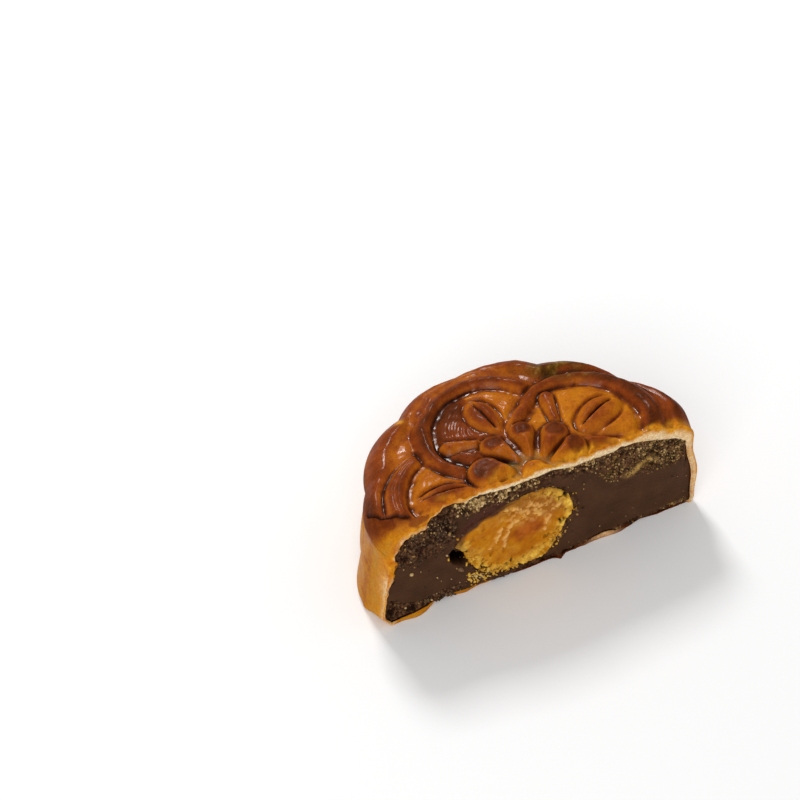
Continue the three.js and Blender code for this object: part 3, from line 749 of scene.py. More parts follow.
def underside(radius, angle):
    # The base's lower face: flat, with shallow hollows that stay clear of its edge.
    x, y, _ = basePoint(radius, angle)
    z = 0.12 * (1 + noise((x, y, 0), 5.0, 41, 2)) * (1 - smoothStep(0.9, 1.0, radius))
    return dict(p=(x, y, z), brown=0.1 + 0.25 * noise((x, y, 0), 4.0, 42, 3))


def cutLoop(top, wall, base):
    # What three grids hold round the cut: along the top, down at the right, back along the base and
    # up. With it the places along the loop, from 0 to 4: each side counts one.
    sides = (top[0], wall[:, 0], base[0, ::-1], wall[::-1, -1])
    places = [side + (np.arange(len(row)) + 0.5) / len(row) for side, row in enumerate(sides)]
    return np.concatenate(sides), np.concatenate(places)


def cutSection(outer, inner, side):
    # The crust's cut face: rows from its outer loop to its inner one, bulging, crumbly, and with skin
    # that the knife rolled over the edge. Pale dough shows under it, little of it at the left and below.
    # Sides 0 to 3 are the top, the right wall, the base and the left wall.
    s = (np.arange(1, crust["sectionRows"] + 1) / crust["sectionRows"])[:, None]
    x, y, z = np.moveaxis(mix(outer[None], inner[None], s[..., None]), -1, 0)
    side = side[None, :]
    bulge = np.choose(side, list(crust["bulge"].values()))
    crumbly = 0.14 * noise((x, y, z), 0.8, 51, 2) + 0.14 * np.maximum(0, 0.5 - grains((x, z, 0 * x), 0.7, 52))
    roundOver = 1 - (1 - np.minimum(s / 0.4, 1)) ** 2
    y = y - bulge * roundOver * (1 - 0.8 * smoothStep(0.75, 1.0, s)) + crumbly * np.sin(np.pi * np.clip(s, 0, 0.85))
    y = y + 0.15 * smoothStep(0.6, 1.0, s)
    rolled = crust["rolled"] + 0.2 * noise((x, 0, z), 2.0, 53, 2) + 0.12 * smoothStep(24, 30, x)
    dough = smoothStep(rolled - 0.22, rolled + 0.22, s + 0 * x)
    pale = np.choose(side, [0.30 + 0.70 * smoothStep(-21, -15, x) - 0.22 * smoothStep(10, 24, x),
                            0.50 + 0.20 * smoothStep(14, 20, z), 0 * x, 0.25 - 0.35 * smoothStep(14, 16.5, z)])
    pale = np.clip(pale + 0.32 * noise((x, 0, z), 1.2, 54, 2), 0, 1) * (side != 2)
    pale = pale + 0.4 * bell((x - 15) / 3.5) * (side == 2)  # one pale spot on the base
    # The base's cut face: tan at the left and darker from x -9 rightwards, with a pale spot at x 15.
    baseFaceTone = 0.25 + 0.65 * smoothStep(-13, -9, x) - 0.6 * bell((x - 15) / 4) + 0.15 * noise((x, 0, 2), 3.0, 55, 2)
    return dict(p=(x, y, z), edge=np.where(side == 2, 0.0, 1.0), dough=dough * pale,
                brown=np.where(side == 2, baseFaceTone, bakedWall(x, y, z)),
                groove=0.6 * (side == 2) * smoothStep(-13, -9, x) * (1 - bell((x - 15) / 3.5)))


def crustMesh():
    # The crust as one closed surface: the moulded top, the side and the underside; the section from
    # their edges in to the paste; and a hidden room behind it, a coarser copy turned inside out.
    cells, rows, columns, baseCells = (int(crust[key] * fineness)
                                       for key in ("topCells", "wallRows", "wallColumns", "baseCells"))
    radius, angle = halfDisc(cells)
    down = (np.arange(1, rows + 1) / rows)[:, None]
    around = np.linspace(0, np.pi, columns + 1)[None, :]
    baseRadius, baseAngle = halfDisc(baseCells)
    parts = [mouldedTop(radius, angle, cake["rim"][2] / cells), sideWall(around, down),
             underside(baseRadius, baseAngle)]
    top, wall, base = numberGrids(parts)
    faces = [gridFaces(top), gridFaces(wall, True), gridFaces(base, True),
             seamFaces(arcOf(top), wall[0], arcOf(angle), around[0], True),
             seamFaces(wall[-1], arcOf(base), around[0], arcOf(baseAngle), True)]

    # The section: from the loop of their cut edges to the same loop at the paste.
    loop, places = cutLoop(top, wall, base)
    inner = (cakePoint(radius[:1], angle[:1], 1)[:3], wallPoint(np.array([[0, np.pi]]), down, 1),
             basePoint(baseRadius[:1], baseAngle[:1], 1))
    inner = np.stack([cutLoop(*grids)[0] for grids in zip(*inner)], -1)
    parts.append(cutSection(joined(parts, ())[0][loop], inner, places.astype(int)))
    section = np.concatenate([loop[None], numberGrids(parts)[-1]])
    faces.append(gridFaces(np.concatenate([section, section[:, :1]], 1), True))

    # The hidden room, stained brown by the paste.
    insideRadius, insideAngle = halfDisc(crust["insideCells"])
    insideDown = (np.arange(1, crust["insideRows"] + 1) / crust["insideRows"])[:, None]
    for p in (cakePoint(insideRadius, insideAngle, 1)[:3], wallPoint(arcOf(insideAngle)[None, :], insideDown, 1),
              basePoint(insideRadius, insideAngle, 1)):
        parts.append(dict(p=p, brown=0.9, groove=0.4))
    top, wall, base = numberGrids(parts)[-3:]
    faces += [gridFaces(top, True), gridFaces(np.concatenate([arcOf(top)[None], wall])),
              gridFaces(np.stack([wall[-1], arcOf(base)])), gridFaces(base)]
    inLoop, inPlaces = cutLoop(top, wall, base)
    faces.append(seamFaces(np.append(section[-1], section[-1][0]), np.append(inLoop, inLoop[0]),
                           np.append(places, places[0] + 4), np.append(inPlaces, inPlaces[0] + 4), True))
    points, masks = joined(parts, crust["masks"])
    return points, faces, masks


def pastryMaterial():
    # Baked pastry: flour, syrup and oil dough, pressed in a mould, brushed with egg and baked.
    # To the eye: amber where it lies low, red-brown where it stood nearer the heat, nearly black
    # lines in the grooves that are painted shade with some syrup in them, a wet gloss on top, and a pale matt crumb
    # where it is cut.
    material, tree, coords, mask = startMaterial("egg_washed_baked_pastry", crust["masks"])
    # Blotches 2.5 mm apart from uneven heat, 0.45 mm specks of flour, and pores and blisters 0.9 mm apart.
    # Flour and pores are finer in a real crust, and are drawn this coarse so that they show.
    mottle = addNode(tree, "TexNoise", {"Vector": coords, "Scale": perMetre / 2.5, "Detail": 4, "Roughness": 0.6})
    speckle = addNode(tree, "TexNoise", {"Vector": coords, "Scale": perMetre / 0.45, "Detail": 2})
    pores = addNode(tree, "TexVoronoi", {"Vector": coords, "Scale": perMetre / 0.9, "Randomness": 1.0})
    pores = addNode(tree, "MapRange", {0: pores, 1: 0.08, 2: 0.26, 3: 0.0, 4: 1.0})

    # Colours: each from a ramp, or plain, laid over the last one by its mask.
    baked = addNode(tree, "MapRange", {0: mottle, 1: 0.2, 2: 0.8, 3: -0.2, 4: 0.2})
    baked = addNode(tree, "Math", {0: mask["brown"], 1: baked}, operation="ADD")
    wall = addNode(tree, "ValToRGB", {0: baked},
                   ((0.0, "#bc8830"), (1.0, "#642a0a"), (0.18, "#be7a16"), (0.4, "#a8600f"), (0.7, "#864212")))
    top = addNode(tree, "ValToRGB", {0: baked},
                  ((0.0, "#c27612"), (1.0, "#54260e"), (0.3, "#ac5c14"), (0.62, "#853c14")))
    edge = addNode(tree, "ValToRGB", {0: mottle}, ((0.3, "#b45e08"), (0.7, "#e29c22")))
    olive = addNode(tree, "ValToRGB", {0: mottle}, ((0.36, "#30200a"), (0.72, "#a8803a"), (0.54, "#64420f")))
    crumb = addNode(tree, "ValToRGB", {0: speckle}, ((0.25, "#deb980"), (0.7, "#f4e2bc")))
    pools = addNode(tree, "Math", {0: mask["hollow"], 1: 0.5}, operation="MULTIPLY")
    colour = wall
    # The near-black is painted shade in the grooves and the crease, with some syrup in it.
    for share, over in ((mask["moulded"], top), (mask["edge"], edge), (mask["olive"], olive),
                        (mask["groove"], "#240c04"), (pools, "#a07c3e"), (mask["dough"], crumb)):
        colour = addNode(tree, "Mix", {0: share, 6: colour, 7: over}, out=2, data_type="RGBA")
    specks = addNode(tree, "MapRange", {0: speckle, 1: 0.35, 2: 0.7, 3: 0.88, 4: 1.08})
    # The pores are painted darker in their pits: painted shade.
    dotted = addNode(tree, "MapRange", {0: pores, 1: 0.0, 2: 1.0, 3: 0.84, 4: 1.0})
    specks = addNode(tree, "Math", {0: specks, 1: dotted}, operation="MULTIPLY")
    colour = addNode(tree, "VectorMath", {0: colour, 1: specks}, operation="MULTIPLY")

    # Gloss: the egg wash is a clear coat where it pooled; the rest is satin and the cut crumb matt.
    matt = addNode(tree, "MapRange", {0: mask["dough"], 1: 0.0, 2: 0.6, 3: 0.5, 4: 0.85})
    coat = addNode(tree, "Math", {0: mask["glaze"], 1: 0.75}, operation="MULTIPLY")
    blisters = addNode(tree, "TexNoise", {"Vector": coords, "Scale": perMetre / 0.9, "Detail": 3})
    bump = addNode(tree, "Bump", {"Height": blisters, "Strength": 0.8, "Distance": 0.25 / perMetre})
    bump = addNode(tree, "Bump", {"Height": pores, "Normal": bump, "Strength": 0.6, "Distance": 0.12 / perMetre})
    bump = addNode(tree, "Bump", {"Height": speckle, "Normal": bump, "Strength": 0.5, "Distance": 0.08 / perMetre})
    setInputs(tree, tree.nodes["Principled BSDF"], {
        "Base Color": colour, "Roughness": matt, "Coat Weight": coat, "Coat Roughness": 0.16, "IOR": 1.42,
        "Specular IOR Level": 0.03, "Subsurface Weight": 0.1, "Subsurface Radius": (0.0016, 0.0006, 0.0002),
        "Subsurface Scale": 1.0, "Normal": bump})
    return material


makePiece("mooncake_crust", *crustMesh(), pastryMaterial(), "crust", "crust")

# The filling's cut face and the room it fills. Rough where it crumbled, smooth where the knife smeared
# it, and torn back with the crust, less far. Paths and places on the cut are (x, z).
paste = dict(
    columns=440, rows=150, rollRows=20, rollReach=4.5, backColumns=48, backRows=16,
    inset=0.85,  # where its edge lies in the crust's thickness, 0 outside and 1 inside, so that no gap shows
    tuck=0.3, tornShare=0.55, tornFrom=21.5, lump=0.42, shoulder=25.5,
    ledge=((-38, 7.7), (-35.4, 6.3), (-31.1, 4.1), (-28.3, 3.6), (-26.8, 3.8), (-24.4, 4.3), (-20, 3.6)),
    ledgeDepth=0.6,
    hole=dict(at=(-20.6, 12.3), half=(1.9, 1.9), slant=0.54, depth=6.0),
    flour=dict(path=((20.4, 16.8), (21.8, 17.5), (23.6, 18.4), (26.2, 18.6)), width=0.8),
    oily=((-20.6, 17.0), (-19.4, 20.4), (-15.5, 22.6), (-11.0, 24.0)),
    masks=("rough", "heap", "pit", "dust", "flour", "oily"),
)

# The yolk: the outline of its cut face as (x, z) points round its centre, and what shows on it. Streaks
# are (path, width).
yolk = dict(
    centre=(-7.3, 12.6), depth=11.5, cells=110, backCells=16, proud=0.1, middle=12.0,
    outline=((7.2, 13.2), (6.6, 16.2), (5.4, 18.8), (3.5, 20.8), (0.6, 23.0), (-2.7, 23.6), (-6.6, 23.3),
             (-10.2, 23.0), (-13.3, 22.1), (-16.4, 21.5), (-19.6, 19.2), (-21.0, 17.2), (-21.8, 15.9),
             (-20.6, 14.5), (-18.9, 14.0), (-18.9, 11.8), (-18.4, 9.9), (-17.4, 8.0), (-15.6, 5.2),
             (-12.8, 3.2), (-9.9, 2.9), (-5.9, 2.5), (-2.6, 1.7), (-0.1, 1.6), (1.9, 3.9), (3.2, 5.9),
             (4.7, 8.3), (5.7, 10.7)),
    core=((-8.6, 12.8), (-7.3, 14.6), (-4.3, 15.4), (-1.3, 14.5), (-0.1, 11.9), (-2.1, 10.6), (-6.1, 9.9),
          (-8.6, 12.8)),
    streaks=((((-10.2, 10.5), (-9.7, 13.8), (-9.1, 15.6), (-8.0, 16.8), (-6.4, 18.0), (-4.4, 17.5),
               (-1.7, 16.1)), 0.7),
             (((-13.4, 11.7), (-12.2, 12.6), (-11.3, 15.7), (-10.4, 16.8)), 0.5),
             (((-0.5, 10.5), (0.5, 11.6), (0.7, 15.3), (1.7, 15.8), (3.3, 16.8)), 0.8),
             (((-9.7, 21.3), (-6.5, 20.6), (-4.5, 21.1), (-1.4, 17.2)), 0.6)),
    masks=("crumb", "core", "streak", "hole", "upper", "cover"),
)


def fromYolk(x, z):
    # Distance and direction from the yolk's centre.
    across, up = x - yolk["centre"][0], z - yolk["centre"][1]
    return np.hypot(across, up), np.arctan2(up, across)


def yolkEdge(angle):
    # Radius of the yolk's cut face in each direction, read from its outline.
    reach, turn = fromYolk(*np.array(yolk["outline"]).T)
    return np.interp(angle, turn, reach, period=2 * np.pi)


def yolkShare(x, z):
    # Distance from the yolk's centre as a share of its radius in that direction.
    reach, angle = fromYolk(x, z)
    return reach / yolkEdge(angle)


def yolkSector(x, z, at, half):
    # 1 in a direction from the yolk's centre, in degrees, and a flat-topped bell to both sides of it.
    return bell((apart(fromYolk(x, z)[1], at) / half) ** 2)


# The room for the filling along the cut, from its left end to its right: x, and what the rim takes off.
roomAlong = np.linspace(-1, 1, 801)
roomSide = np.where(roomAlong < 0, np.pi, 0.0)
roomX, _, _, roomDrop = cakePoint(np.abs(roomAlong), roomSide, paste["inset"], False)


def pasteTop(x, y=0.0):
    # Underside of the top crust: the dome less the crust, and less what the rounded rim takes off.
    return crownHeight(x, y) - paste["inset"] * topLayer(x, y) - np.interp(x, roomX, roomDrop)


def pasteEnds(z):
    # Where the filling's face ends at the left and at the right, at a height.
    z = np.minimum(z, paste["shoulder"])
    hx, _, hr = outlineAt(z)
    return [hx + side * (hr - paste["inset"] * wallLayer(angle, z) + lobedOffset(np.full_like(z, angle), z))
            for side, angle in ((-1, np.pi), (1, 0.0))]


def ledgeHeight(x):
    # The line, low on the left, where the knife's smear ends in a step.
    return readTable(x, paste["ledge"]) + 0.25 * noise((x, 0, 0), 1.5, 62, 2)


def roughShare(x, z):
    # 1 where the paste crumbled: a band under the crust, clouds at both ends, and below the ledge.
    wander = noise((x, z, 0), 4.0, 61, 2)
    band = 1 - smoothStep(2.6, 5.2, pasteTop(x) - z + 1.8 * wander)
    right, left = (1 - smoothStep(0.7, 1.15, np.hypot((x - atX) / wide, (z - atZ) / high) + 0.3 * wander)
                   for atX, atZ, wide, high in ((27, 20, 13.5, 6.5), (-29, 22, 9.0, 7.0)))
    low = (1 - smoothStep(0.0, 0.5, z - ledgeHeight(x) - 0.5 * wander)) * (1 - smoothStep(-22, -17, x))
    foot = (1 - smoothStep(0.8, 2.0, z + 0.8 * wander)) * smoothStep(-22, -17, x)
    rim = 1 - smoothStep(1.03, 1.10, yolkShare(x, z) + 0.04 * wander)
    return np.maximum.reduce([band, right, left, low, 0.8 * foot, 0.7 * rim])


def dusting(x, z):
    # How thickly broken pastry lies on the paste: a band under the crust, most of it left of the
    # middle, a thin scatter on the crumbled paste at the right, and a little at the left.
    below = pasteTop(x) - z
    patches = smoothStep(-0.05, 0.35, noise((x, z, 0), 2.6, 111, 2))
    under = bell(np.maximum(below - 0.4, 0) / mix(2.8, 1.1, smoothStep(-8, 0, x)))
    under = under * (0.25 + 0.75 * bell((x + 14) / 9))
    under = under * (0.1 + 0.9 * smoothStep(-24, -18, x)) * (0.15 + 0.85 * patches)
    ends = 0.26 * smoothStep(8, 16, x) + 0.02 * smoothStep(-20, -26, x)
    return (below > 0.1) * (under + roughShare(x, z) * (0.3 + 0.7 * patches) * ends)


def pasteFront(x, z):
    # Depth of the cut face at a place: grains of three sizes heaped where it crumbled, streaked swellings
    # where it was smeared, a step along the ledge, and a deep hole. Also gives the masks.
    rough, reach = roughShare(x, z), yolkShare(x, z)
    grain = [np.maximum(0, 0.72 - grains((x, z, k + 0 * x), size, 71 + k)) for k, size in enumerate((1.2, 0.7, 0.42))]
    heap = 0.6 * grain[0] + 0.8 * grain[1] + 0.6 * grain[2]
    sunk = smoothStep(0.2, 0.65, noise((x, z, 0), 1.3, 74, 2))
    sunk = sunk + 0.8 * smoothStep(0.3, 0.7, noise((x, z, 0), 3.0, 75, 2))
    smear = 0.06 * noise((x, z, 0), (6.0, 0.8, 1), 76, 3) + 0.16 * noise((x, z, 0), 8.0, 77, 2)
    fromLedge = z - ledgeHeight(x)
    under = (1 - smoothStep(-0.3, 0.2, fromLedge)) * (1 - smoothStep(-24, -18, x))
    ledge = paste["ledgeDepth"] * under * (1 + 0.8 * bell((fromLedge + 0.5) / 0.5))

    # The hole is a rounded square: distances to the third power, added up, and a ragged edge.
    hole = paste["hole"]
    across, up = x - hole["at"][0], z - hole["at"][1] + hole["slant"] * (x - hole["at"][0])
    pit = (np.abs(across / hole["half"][0]) ** 3 + np.abs(up / hole["half"][1]) ** 3) ** (1 / 3)
    pit = pit + 0.3 * noise((x, z, 0), 1.2, 80, 2)
    # The hole and a line under the ledge's step are painted near black: painted shade.
    pitShade = 1 - smoothStep(0.98, 1.2, pit) + 0.5 * bell((fromLedge + 0.3) / 0.35) * under

    y = 0.3 + paste["tornShare"] * torn(x, z, paste["tornFrom"]) + smear + ledge
    y = y + rough * (0.12 + 0.5 * sunk - 1.3 * paste["lump"] * heap)
    y = y - (1 - rough) * 0.18 * np.maximum(0, grain[1] - 0.25)
    y = y + hole["depth"] * bell(np.maximum(pit, 0) ** 4) + 2.6 * (1 - smoothStep(0.88, 1.0, reach))
    flour = np.abs(fromPath(x, z, paste["flour"]["path"])) + 0.6 * noise((x, z, 0), 1.5, 78, 2)
    oily = np.abs(fromPath(x, z, paste["oily"])) + 0.5 * noise((x, z, 0), 1.5, 79)
    # The heap mask is paler on heaped grains and darker where the paste is sunk: it paints shade between the grains.
    return y, dict(rough=rough, heap=np.clip(1.25 * heap - 0.55 * sunk, 0, 1), pit=np.clip(pitShade, 0, 1),
                   dust=np.clip(1.3 * dusting(x, z), 0, 1), flour=bell(flour / paste["flour"]["width"]),
                   oily=bell(oily / 1.1) * (reach > 0.9))


def pasteMesh():
    # The cut face is a grid from end to end and from base to top; it rolls over its top edge under the
    # crust, and a coarse grid behind closes it where the crust's room ends.
    columns, rows, rollRows = (int(paste[key] * fineness) for key in ("columns", "rows", "rollRows"))

    def faceGrid(u, v):
        # From shares along and up the face to x and z: ends and top depend on each other, so they are
        # worked out four times over.
        z = mix(0.4, 24.0, v)
        for _ in range(4):
            x = mix(*pasteEnds(z), u)
            low = paste["inset"] * baseLayer(x)
            z = mix(low, pasteTop(x), v)
        return x, z, low

    u, v = np.meshgrid(np.linspace(0, 1, columns + 1), np.linspace(0, 1, rows + 1))
    x, z, low = faceGrid(mix(u, 0.5 - 0.5 * np.cos(np.pi * u), 0.3), v)  # columns stand closer at the ends
    y, masks = pasteFront(x, z)
    border = np.minimum(np.minimum(pasteTop(x) - z, (z - low) * 1.5), np.minimum(u, 1 - u) * 72)
    y = mix(y, np.minimum(y, crustCut(x, low) + 0.3), 1 - smoothStep(0.3, 1.3, z - low))
    y = y + paste["tuck"] * (1 - smoothStep(0, 0.6, border))

    # The roll: a few mm back under the crust, sagging and lumpy in its middle.
    back = (np.arange(1, rollRows + 1) / rollRows)[:, None]
    rollX, rollY = x[-1] + 0 * back, y[-1] + paste["rollReach"] * back
    lumps = 0.5 * np.maximum(0, 0.65 - grains((rollX, rollY, 0 * rollX), 1.0, 81)) * np.sin(np.pi * back)
    rollZ = pasteTop(rollX, rollY - 0.2) - 0.3 * np.sin(np.pi * back) * (1 - back) + lumps - 0.1

    # The back: half an oval behind the face, 3 mm inside the wall and a little lower than the dome.
    bu, bv = np.meshgrid(np.linspace(0, 1, paste["backColumns"] + 1), np.linspace(0, 1, paste["backRows"] + 1))
    bx, bz, _ = faceGrid(bu, bv)
    hx, hy, hr = outlineAt(np.minimum(bz, 24.0))
    deep = np.sqrt(np.maximum((hr - 3.0) ** 2 - (bx - hx) ** 2, 0))
    by = np.maximum(hy + deep * (1 - 0.10 * bv ** 6), 1.4 + 6.3 * smoothStep(0, 0.08, np.minimum(bu, 1 - bu)))
    bz = bz - cake["crown"]["fall"] * by ** 2 * bv

    parts = [dict(p=(x, y, z), **masks), dict(p=(rollX, rollY, rollZ), rough=1.0, heap=0.4),
             dict(p=(bx, by, bz), rough=1.0, heap=0.4)]
    front, roll, behind = numberGrids(parts)
    points, masks = joined(parts, paste["masks"])
    return points, backToBack(np.concatenate([front, roll]), behind), masks


def pasteMaterial():
    # Red bean paste: beans boiled, sieved and fried with sugar and oil, very dark and dense.
    # To the eye: a dull brown-black crumb, and a faint greasy sheen where the knife smeared it.
    material, tree, coords, mask = startMaterial("fried_red_bean_paste", paste["masks"])
    # Bits of bean skin 0.6 mm apart, smears 5 mm apart, 0.7 mm flakes of broken pastry, and 0.35 mm grit:
    # bean starch, which is finer in real paste and is drawn this coarse so that it shows.
    skins = addNode(tree, "TexNoise", {"Vector": coords, "Scale": perMetre / 0.6, "Detail": 4, "Roughness": 0.65})
    clouds = addNode(tree, "TexNoise", {"Vector": coords, "Scale": perMetre / 5.0, "Detail": 2})
    smeared = addNode(tree, "ValToRGB", {0: clouds}, ((0.3, "#402818"), (0.7, "#4e321f")))
    bits = addNode(tree, "MapRange", {0: skins, 1: 0.3, 2: 0.7, 3: -0.25, 4: 0.25})
    # Crumbled paste is painted near black where sunk and paler on heaped grains: painted shade between the grains.
    heaped = addNode(tree, "Math", {0: mask["heap"], 1: bits}, operation="ADD")
    crumbled = addNode(tree, "ValToRGB", {0: heaped}, ((0.0, "#201008"), (1.0, "#6c4a30"), (0.4, "#3c2416")))
    flakes = addNode(tree, "TexNoise", {"Vector": coords, "Scale": perMetre / 0.7, "Detail": 5, "Roughness": 0.75})
    flakes = addNode(tree, "MapRange", {0: flakes, 1: 0.50, 2: 0.58, 3: 0.0, 4: 1.0})
    pastry = addNode(tree, "ValToRGB", {0: skins}, ((0.35, "#8a6a34"), (0.6, "#ceb072")))
    dusted = addNode(tree, "Math", {0: mask["dust"], 1: flakes}, operation="MULTIPLY")
    floured = addNode(tree, "MapRange", {0: skins, 1: 0.35, 2: 0.5, 3: 0.15, 4: 1.0})
    floured = addNode(tree, "Math", {0: mask["flour"], 1: floured}, operation="MULTIPLY")
    colour = smeared
    # Near black in the hole and under the ledge's step is painted shade.
    for share, over in ((mask["rough"], crumbled), (mask["oily"], "#4a2a20"), (floured, "#b08a4c"), (dusted, pastry),
                        (mask["pit"], "#060200")):
        colour = addNode(tree, "Mix", {0: share, 6: colour, 7: over}, out=2, data_type="RGBA")
    dull = addNode(tree, "MapRange", {0: mask["rough"], 1: 0.0, 2: 1.0, 3: 0.5, 4: 0.82})
    grit = addNode(tree, "TexNoise", {"Vector": coords, "Scale": perMetre / 0.35, "Detail": 3})
    bump = addNode(tree, "Bump", {"Height": grit, "Strength": 0.6, "Distance": 0.12 / perMetre})
    setInputs(tree, tree.nodes["Principled BSDF"], {
        "Base Color": colour, "Roughness": dull, "IOR": 1.45, "Specular IOR Level": 0.05, "Normal": bump})
    return material


def yolkFront(x, z):
    # Depth of the yolk's cut face: level with light waves, heaped with grains and pitted where it
    # crumbled, ridged along the oily streaks. Also gives the masks.
    reach = yolkShare(x, z)
    wander = noise((x, z, 0), 3.0, 92, 2)
    crumb = np.maximum.reduce([
        yolkSector(x, z, -100, 85) * smoothStep(0.58, 0.84, reach + 0.16 * wander),
        yolkSector(x, z, 12, 50) * smoothStep(0.78, 0.92, reach + 0.1 * wander),
        0.6 * smoothStep(0.93, 0.99, reach + 0.05 * wander),
        0.16 * smoothStep(0.0, 0.5, noise((x, z, 0), 2.4, 87, 2)) * (x < -6),
        0.9 * bell(np.hypot((x + 20.4) / 2.2, (z - 15.7) / 1.8) ** 2)])
    core = smoothStep(-1.6, 1.4, 0.9 * wander - fromPath(x, z, yolk["core"]))
    sandy = smoothStep(-0.2, 0.3, noise((x, z, 0), 0.9, 93, 3))
    streak = 0.75 * bell(np.hypot((x + 4.0) / 6.5, (z - 18.4) / 3.2) ** 1.5) * sandy
    wavyX, wavyZ = (c + 0.5 * noise((x, z, k), 1.6, seed, 2) for c, k, seed in ((x, 0, 94), (z, 5, 95)))
    for path, width in yolk["streaks"]:
        off = fromPath(wavyX, wavyZ, path)
        streak = np.maximum(streak, bell((off / width) ** 2) * (0.15 + 0.85 * sandy))
    grain = [np.maximum(0, 0.7 - grains((x, z, k + 0 * x), size, 96 + k)) for k, size in enumerate((1.7, 0.8))]
    heap = 1.1 * grain[0] + 0.6 * grain[1]
    loose = 0.28 * bell(np.hypot((x + 15.5) / 3.6, (z - 5.5) / 3.2))
    holes = smoothStep(0.30 - loose, 0.6 - loose, noise((x, z, 0), 1.0, 98, 2))
    y = 0.15 - yolk["proud"] + 0.16 * noise((x, z, 0), 5.0, 88, 2) + 0.12 * noise((x, z, 0), 1.3, 89, 3)
    y = y + crumb * (0.15 - 0.75 * heap + 1.2 * holes) - 0.30 * streak * (0.4 + sandy)
    y = y + 0.10 * core * noise((x, z, 0), 1.0, 90, 2) + 0.8 * smoothStep(0.94, 1.0, reach) ** 2
    upper = smoothStep(-0.2, 0.5, (z - 16.5) / 6 + (x + 4) / 16 + 0.2 * wander)
    cover = yolkSector(x, z, 132, 40) * smoothStep(0.84, 0.95, reach + 0.1 * wander)
    # The holes' mask paints shade in the crumbled yolk's pits.
    return y, dict(crumb=crumb * np.clip(0.4 + 1.1 * heap, 0, 1), core=core, streak=streak,
                   hole=np.clip(crumb * holes * 1.3, 0, 1), upper=upper, cover=cover)


def yolkMesh():
    # The yolk's cut face on an even grid over its outline, and behind it half of a lumpy ball. The
    # grid's middle stays round, so that its cells don't fold.
    def yolkGrid(cells):
        # Shares across and up a disc, its direction and reach, and the radius that they are shares of.
        a, b = fullDisc(cells)
        angle, reach = np.arctan2(b, a), np.hypot(a, b)
        return a, b, angle, reach, mix(yolk["middle"], yolkEdge(angle), smoothStep(0.0, 0.5, reach))

    a, b, angle, reach, edge = yolkGrid(int(yolk["cells"] * fineness))
    edge = edge * (1 + 0.025 * noise((3 * np.cos(angle), 3 * np.sin(angle), 0), 0.35, 81, 2) * reach)
    x, z = yolk["centre"][0] + edge * a, yolk["centre"][1] + edge * b
    y, masks = yolkFront(x, z)

    ba, bb, _, _, edge = yolkGrid(yolk["backCells"])
    bx, bz = yolk["centre"][0] + edge * ba, yolk["centre"][1] + edge * bb
    by = 1.2 + yolk["depth"] * np.sqrt(np.clip(1 - ba * ba - bb * bb, 0, 1))

    parts = [dict(p=(x, y, z), **masks), dict(p=(bx, by, bz))]
    points, masks = joined(parts, yolk["masks"])
    return points, backToBack(*numberGrids(parts)), masks


def yolkMaterial():
    # Salted duck egg yolk: cured in brine until firm, then baked, so that oil runs out of it.
    # To the eye: saturated orange with a translucent oily core, paler and sandy where it crumbles.
    material, tree, coords, mask = startMaterial("baked_salted_egg_yolk", yolk["masks"])
    # Clouds 2 mm apart where the cure is stronger, and clumps of yolk grains 1.8 and 0.5 mm apart: single
    # grains are finer, and are drawn this coarse so that they show.
    mottle = addNode(tree, "TexNoise", {"Vector": coords, "Scale": perMetre / 2.0, "Detail": 4, "Roughness": 0.6})
    sand = addNode(tree, "TexNoise", {"Vector": coords, "Scale": perMetre / 1.8, "Detail": 4, "Roughness": 0.6})
    sandy = addNode(tree, "ValToRGB", {0: sand}, ((0.32, "#ae7208"), (0.58, "#ecbe4c")))
    oily = addNode(tree, "ValToRGB", {0: sand}, ((0.38, "#904206"), (0.62, "#b05c12")))
    colour = addNode(tree, "ValToRGB", {0: mottle}, ((0.3, "#a85a00"), (0.7, "#c07800")))
    upper = addNode(tree, "ValToRGB", {0: mottle}, ((0.3, "#8e500c"), (0.7, "#a26418")))
    # The dark in the crumbled yolk's holes is painted shade.
    for share, over in ((mask["upper"], upper), (mask["core"], oily), (mask["streak"], "#dca458"),
                        (mask["crumb"], sandy), (mask["cover"], "#4c2c1c"), (mask["hole"], "#2c1608")):
        colour = addNode(tree, "Mix", {0: share, 6: colour, 7: over}, out=2, data_type="RGBA")
    grit = addNode(tree, "TexNoise", {"Vector": coords, "Scale": perMetre / 0.5, "Detail": 3})
    bump = addNode(tree, "Bump", {"Height": grit, "Strength": 0.5, "Distance": 0.12 / perMetre})
    setInputs(tree, tree.nodes["Principled BSDF"], {
        "Base Color": colour, "Roughness": 0.42, "IOR": 1.42, "Specular IOR Level": 0.03, "Coat Weight": 0.08,
        "Coat Roughness": 0.2, "Subsurface Weight": 0.12, "Subsurface Radius": (0.0022, 0.0010, 0.0002),
        "Subsurface Scale": 1.0, "Normal": bump})
    return material


makePiece("bean_paste_filling", *pasteMesh(), pasteMaterial(), "red_bean_paste", "red_bean_paste")
makePiece("salted_egg_yolk", *yolkMesh(), yolkMaterial(), "egg_yolk", "egg_yolk")

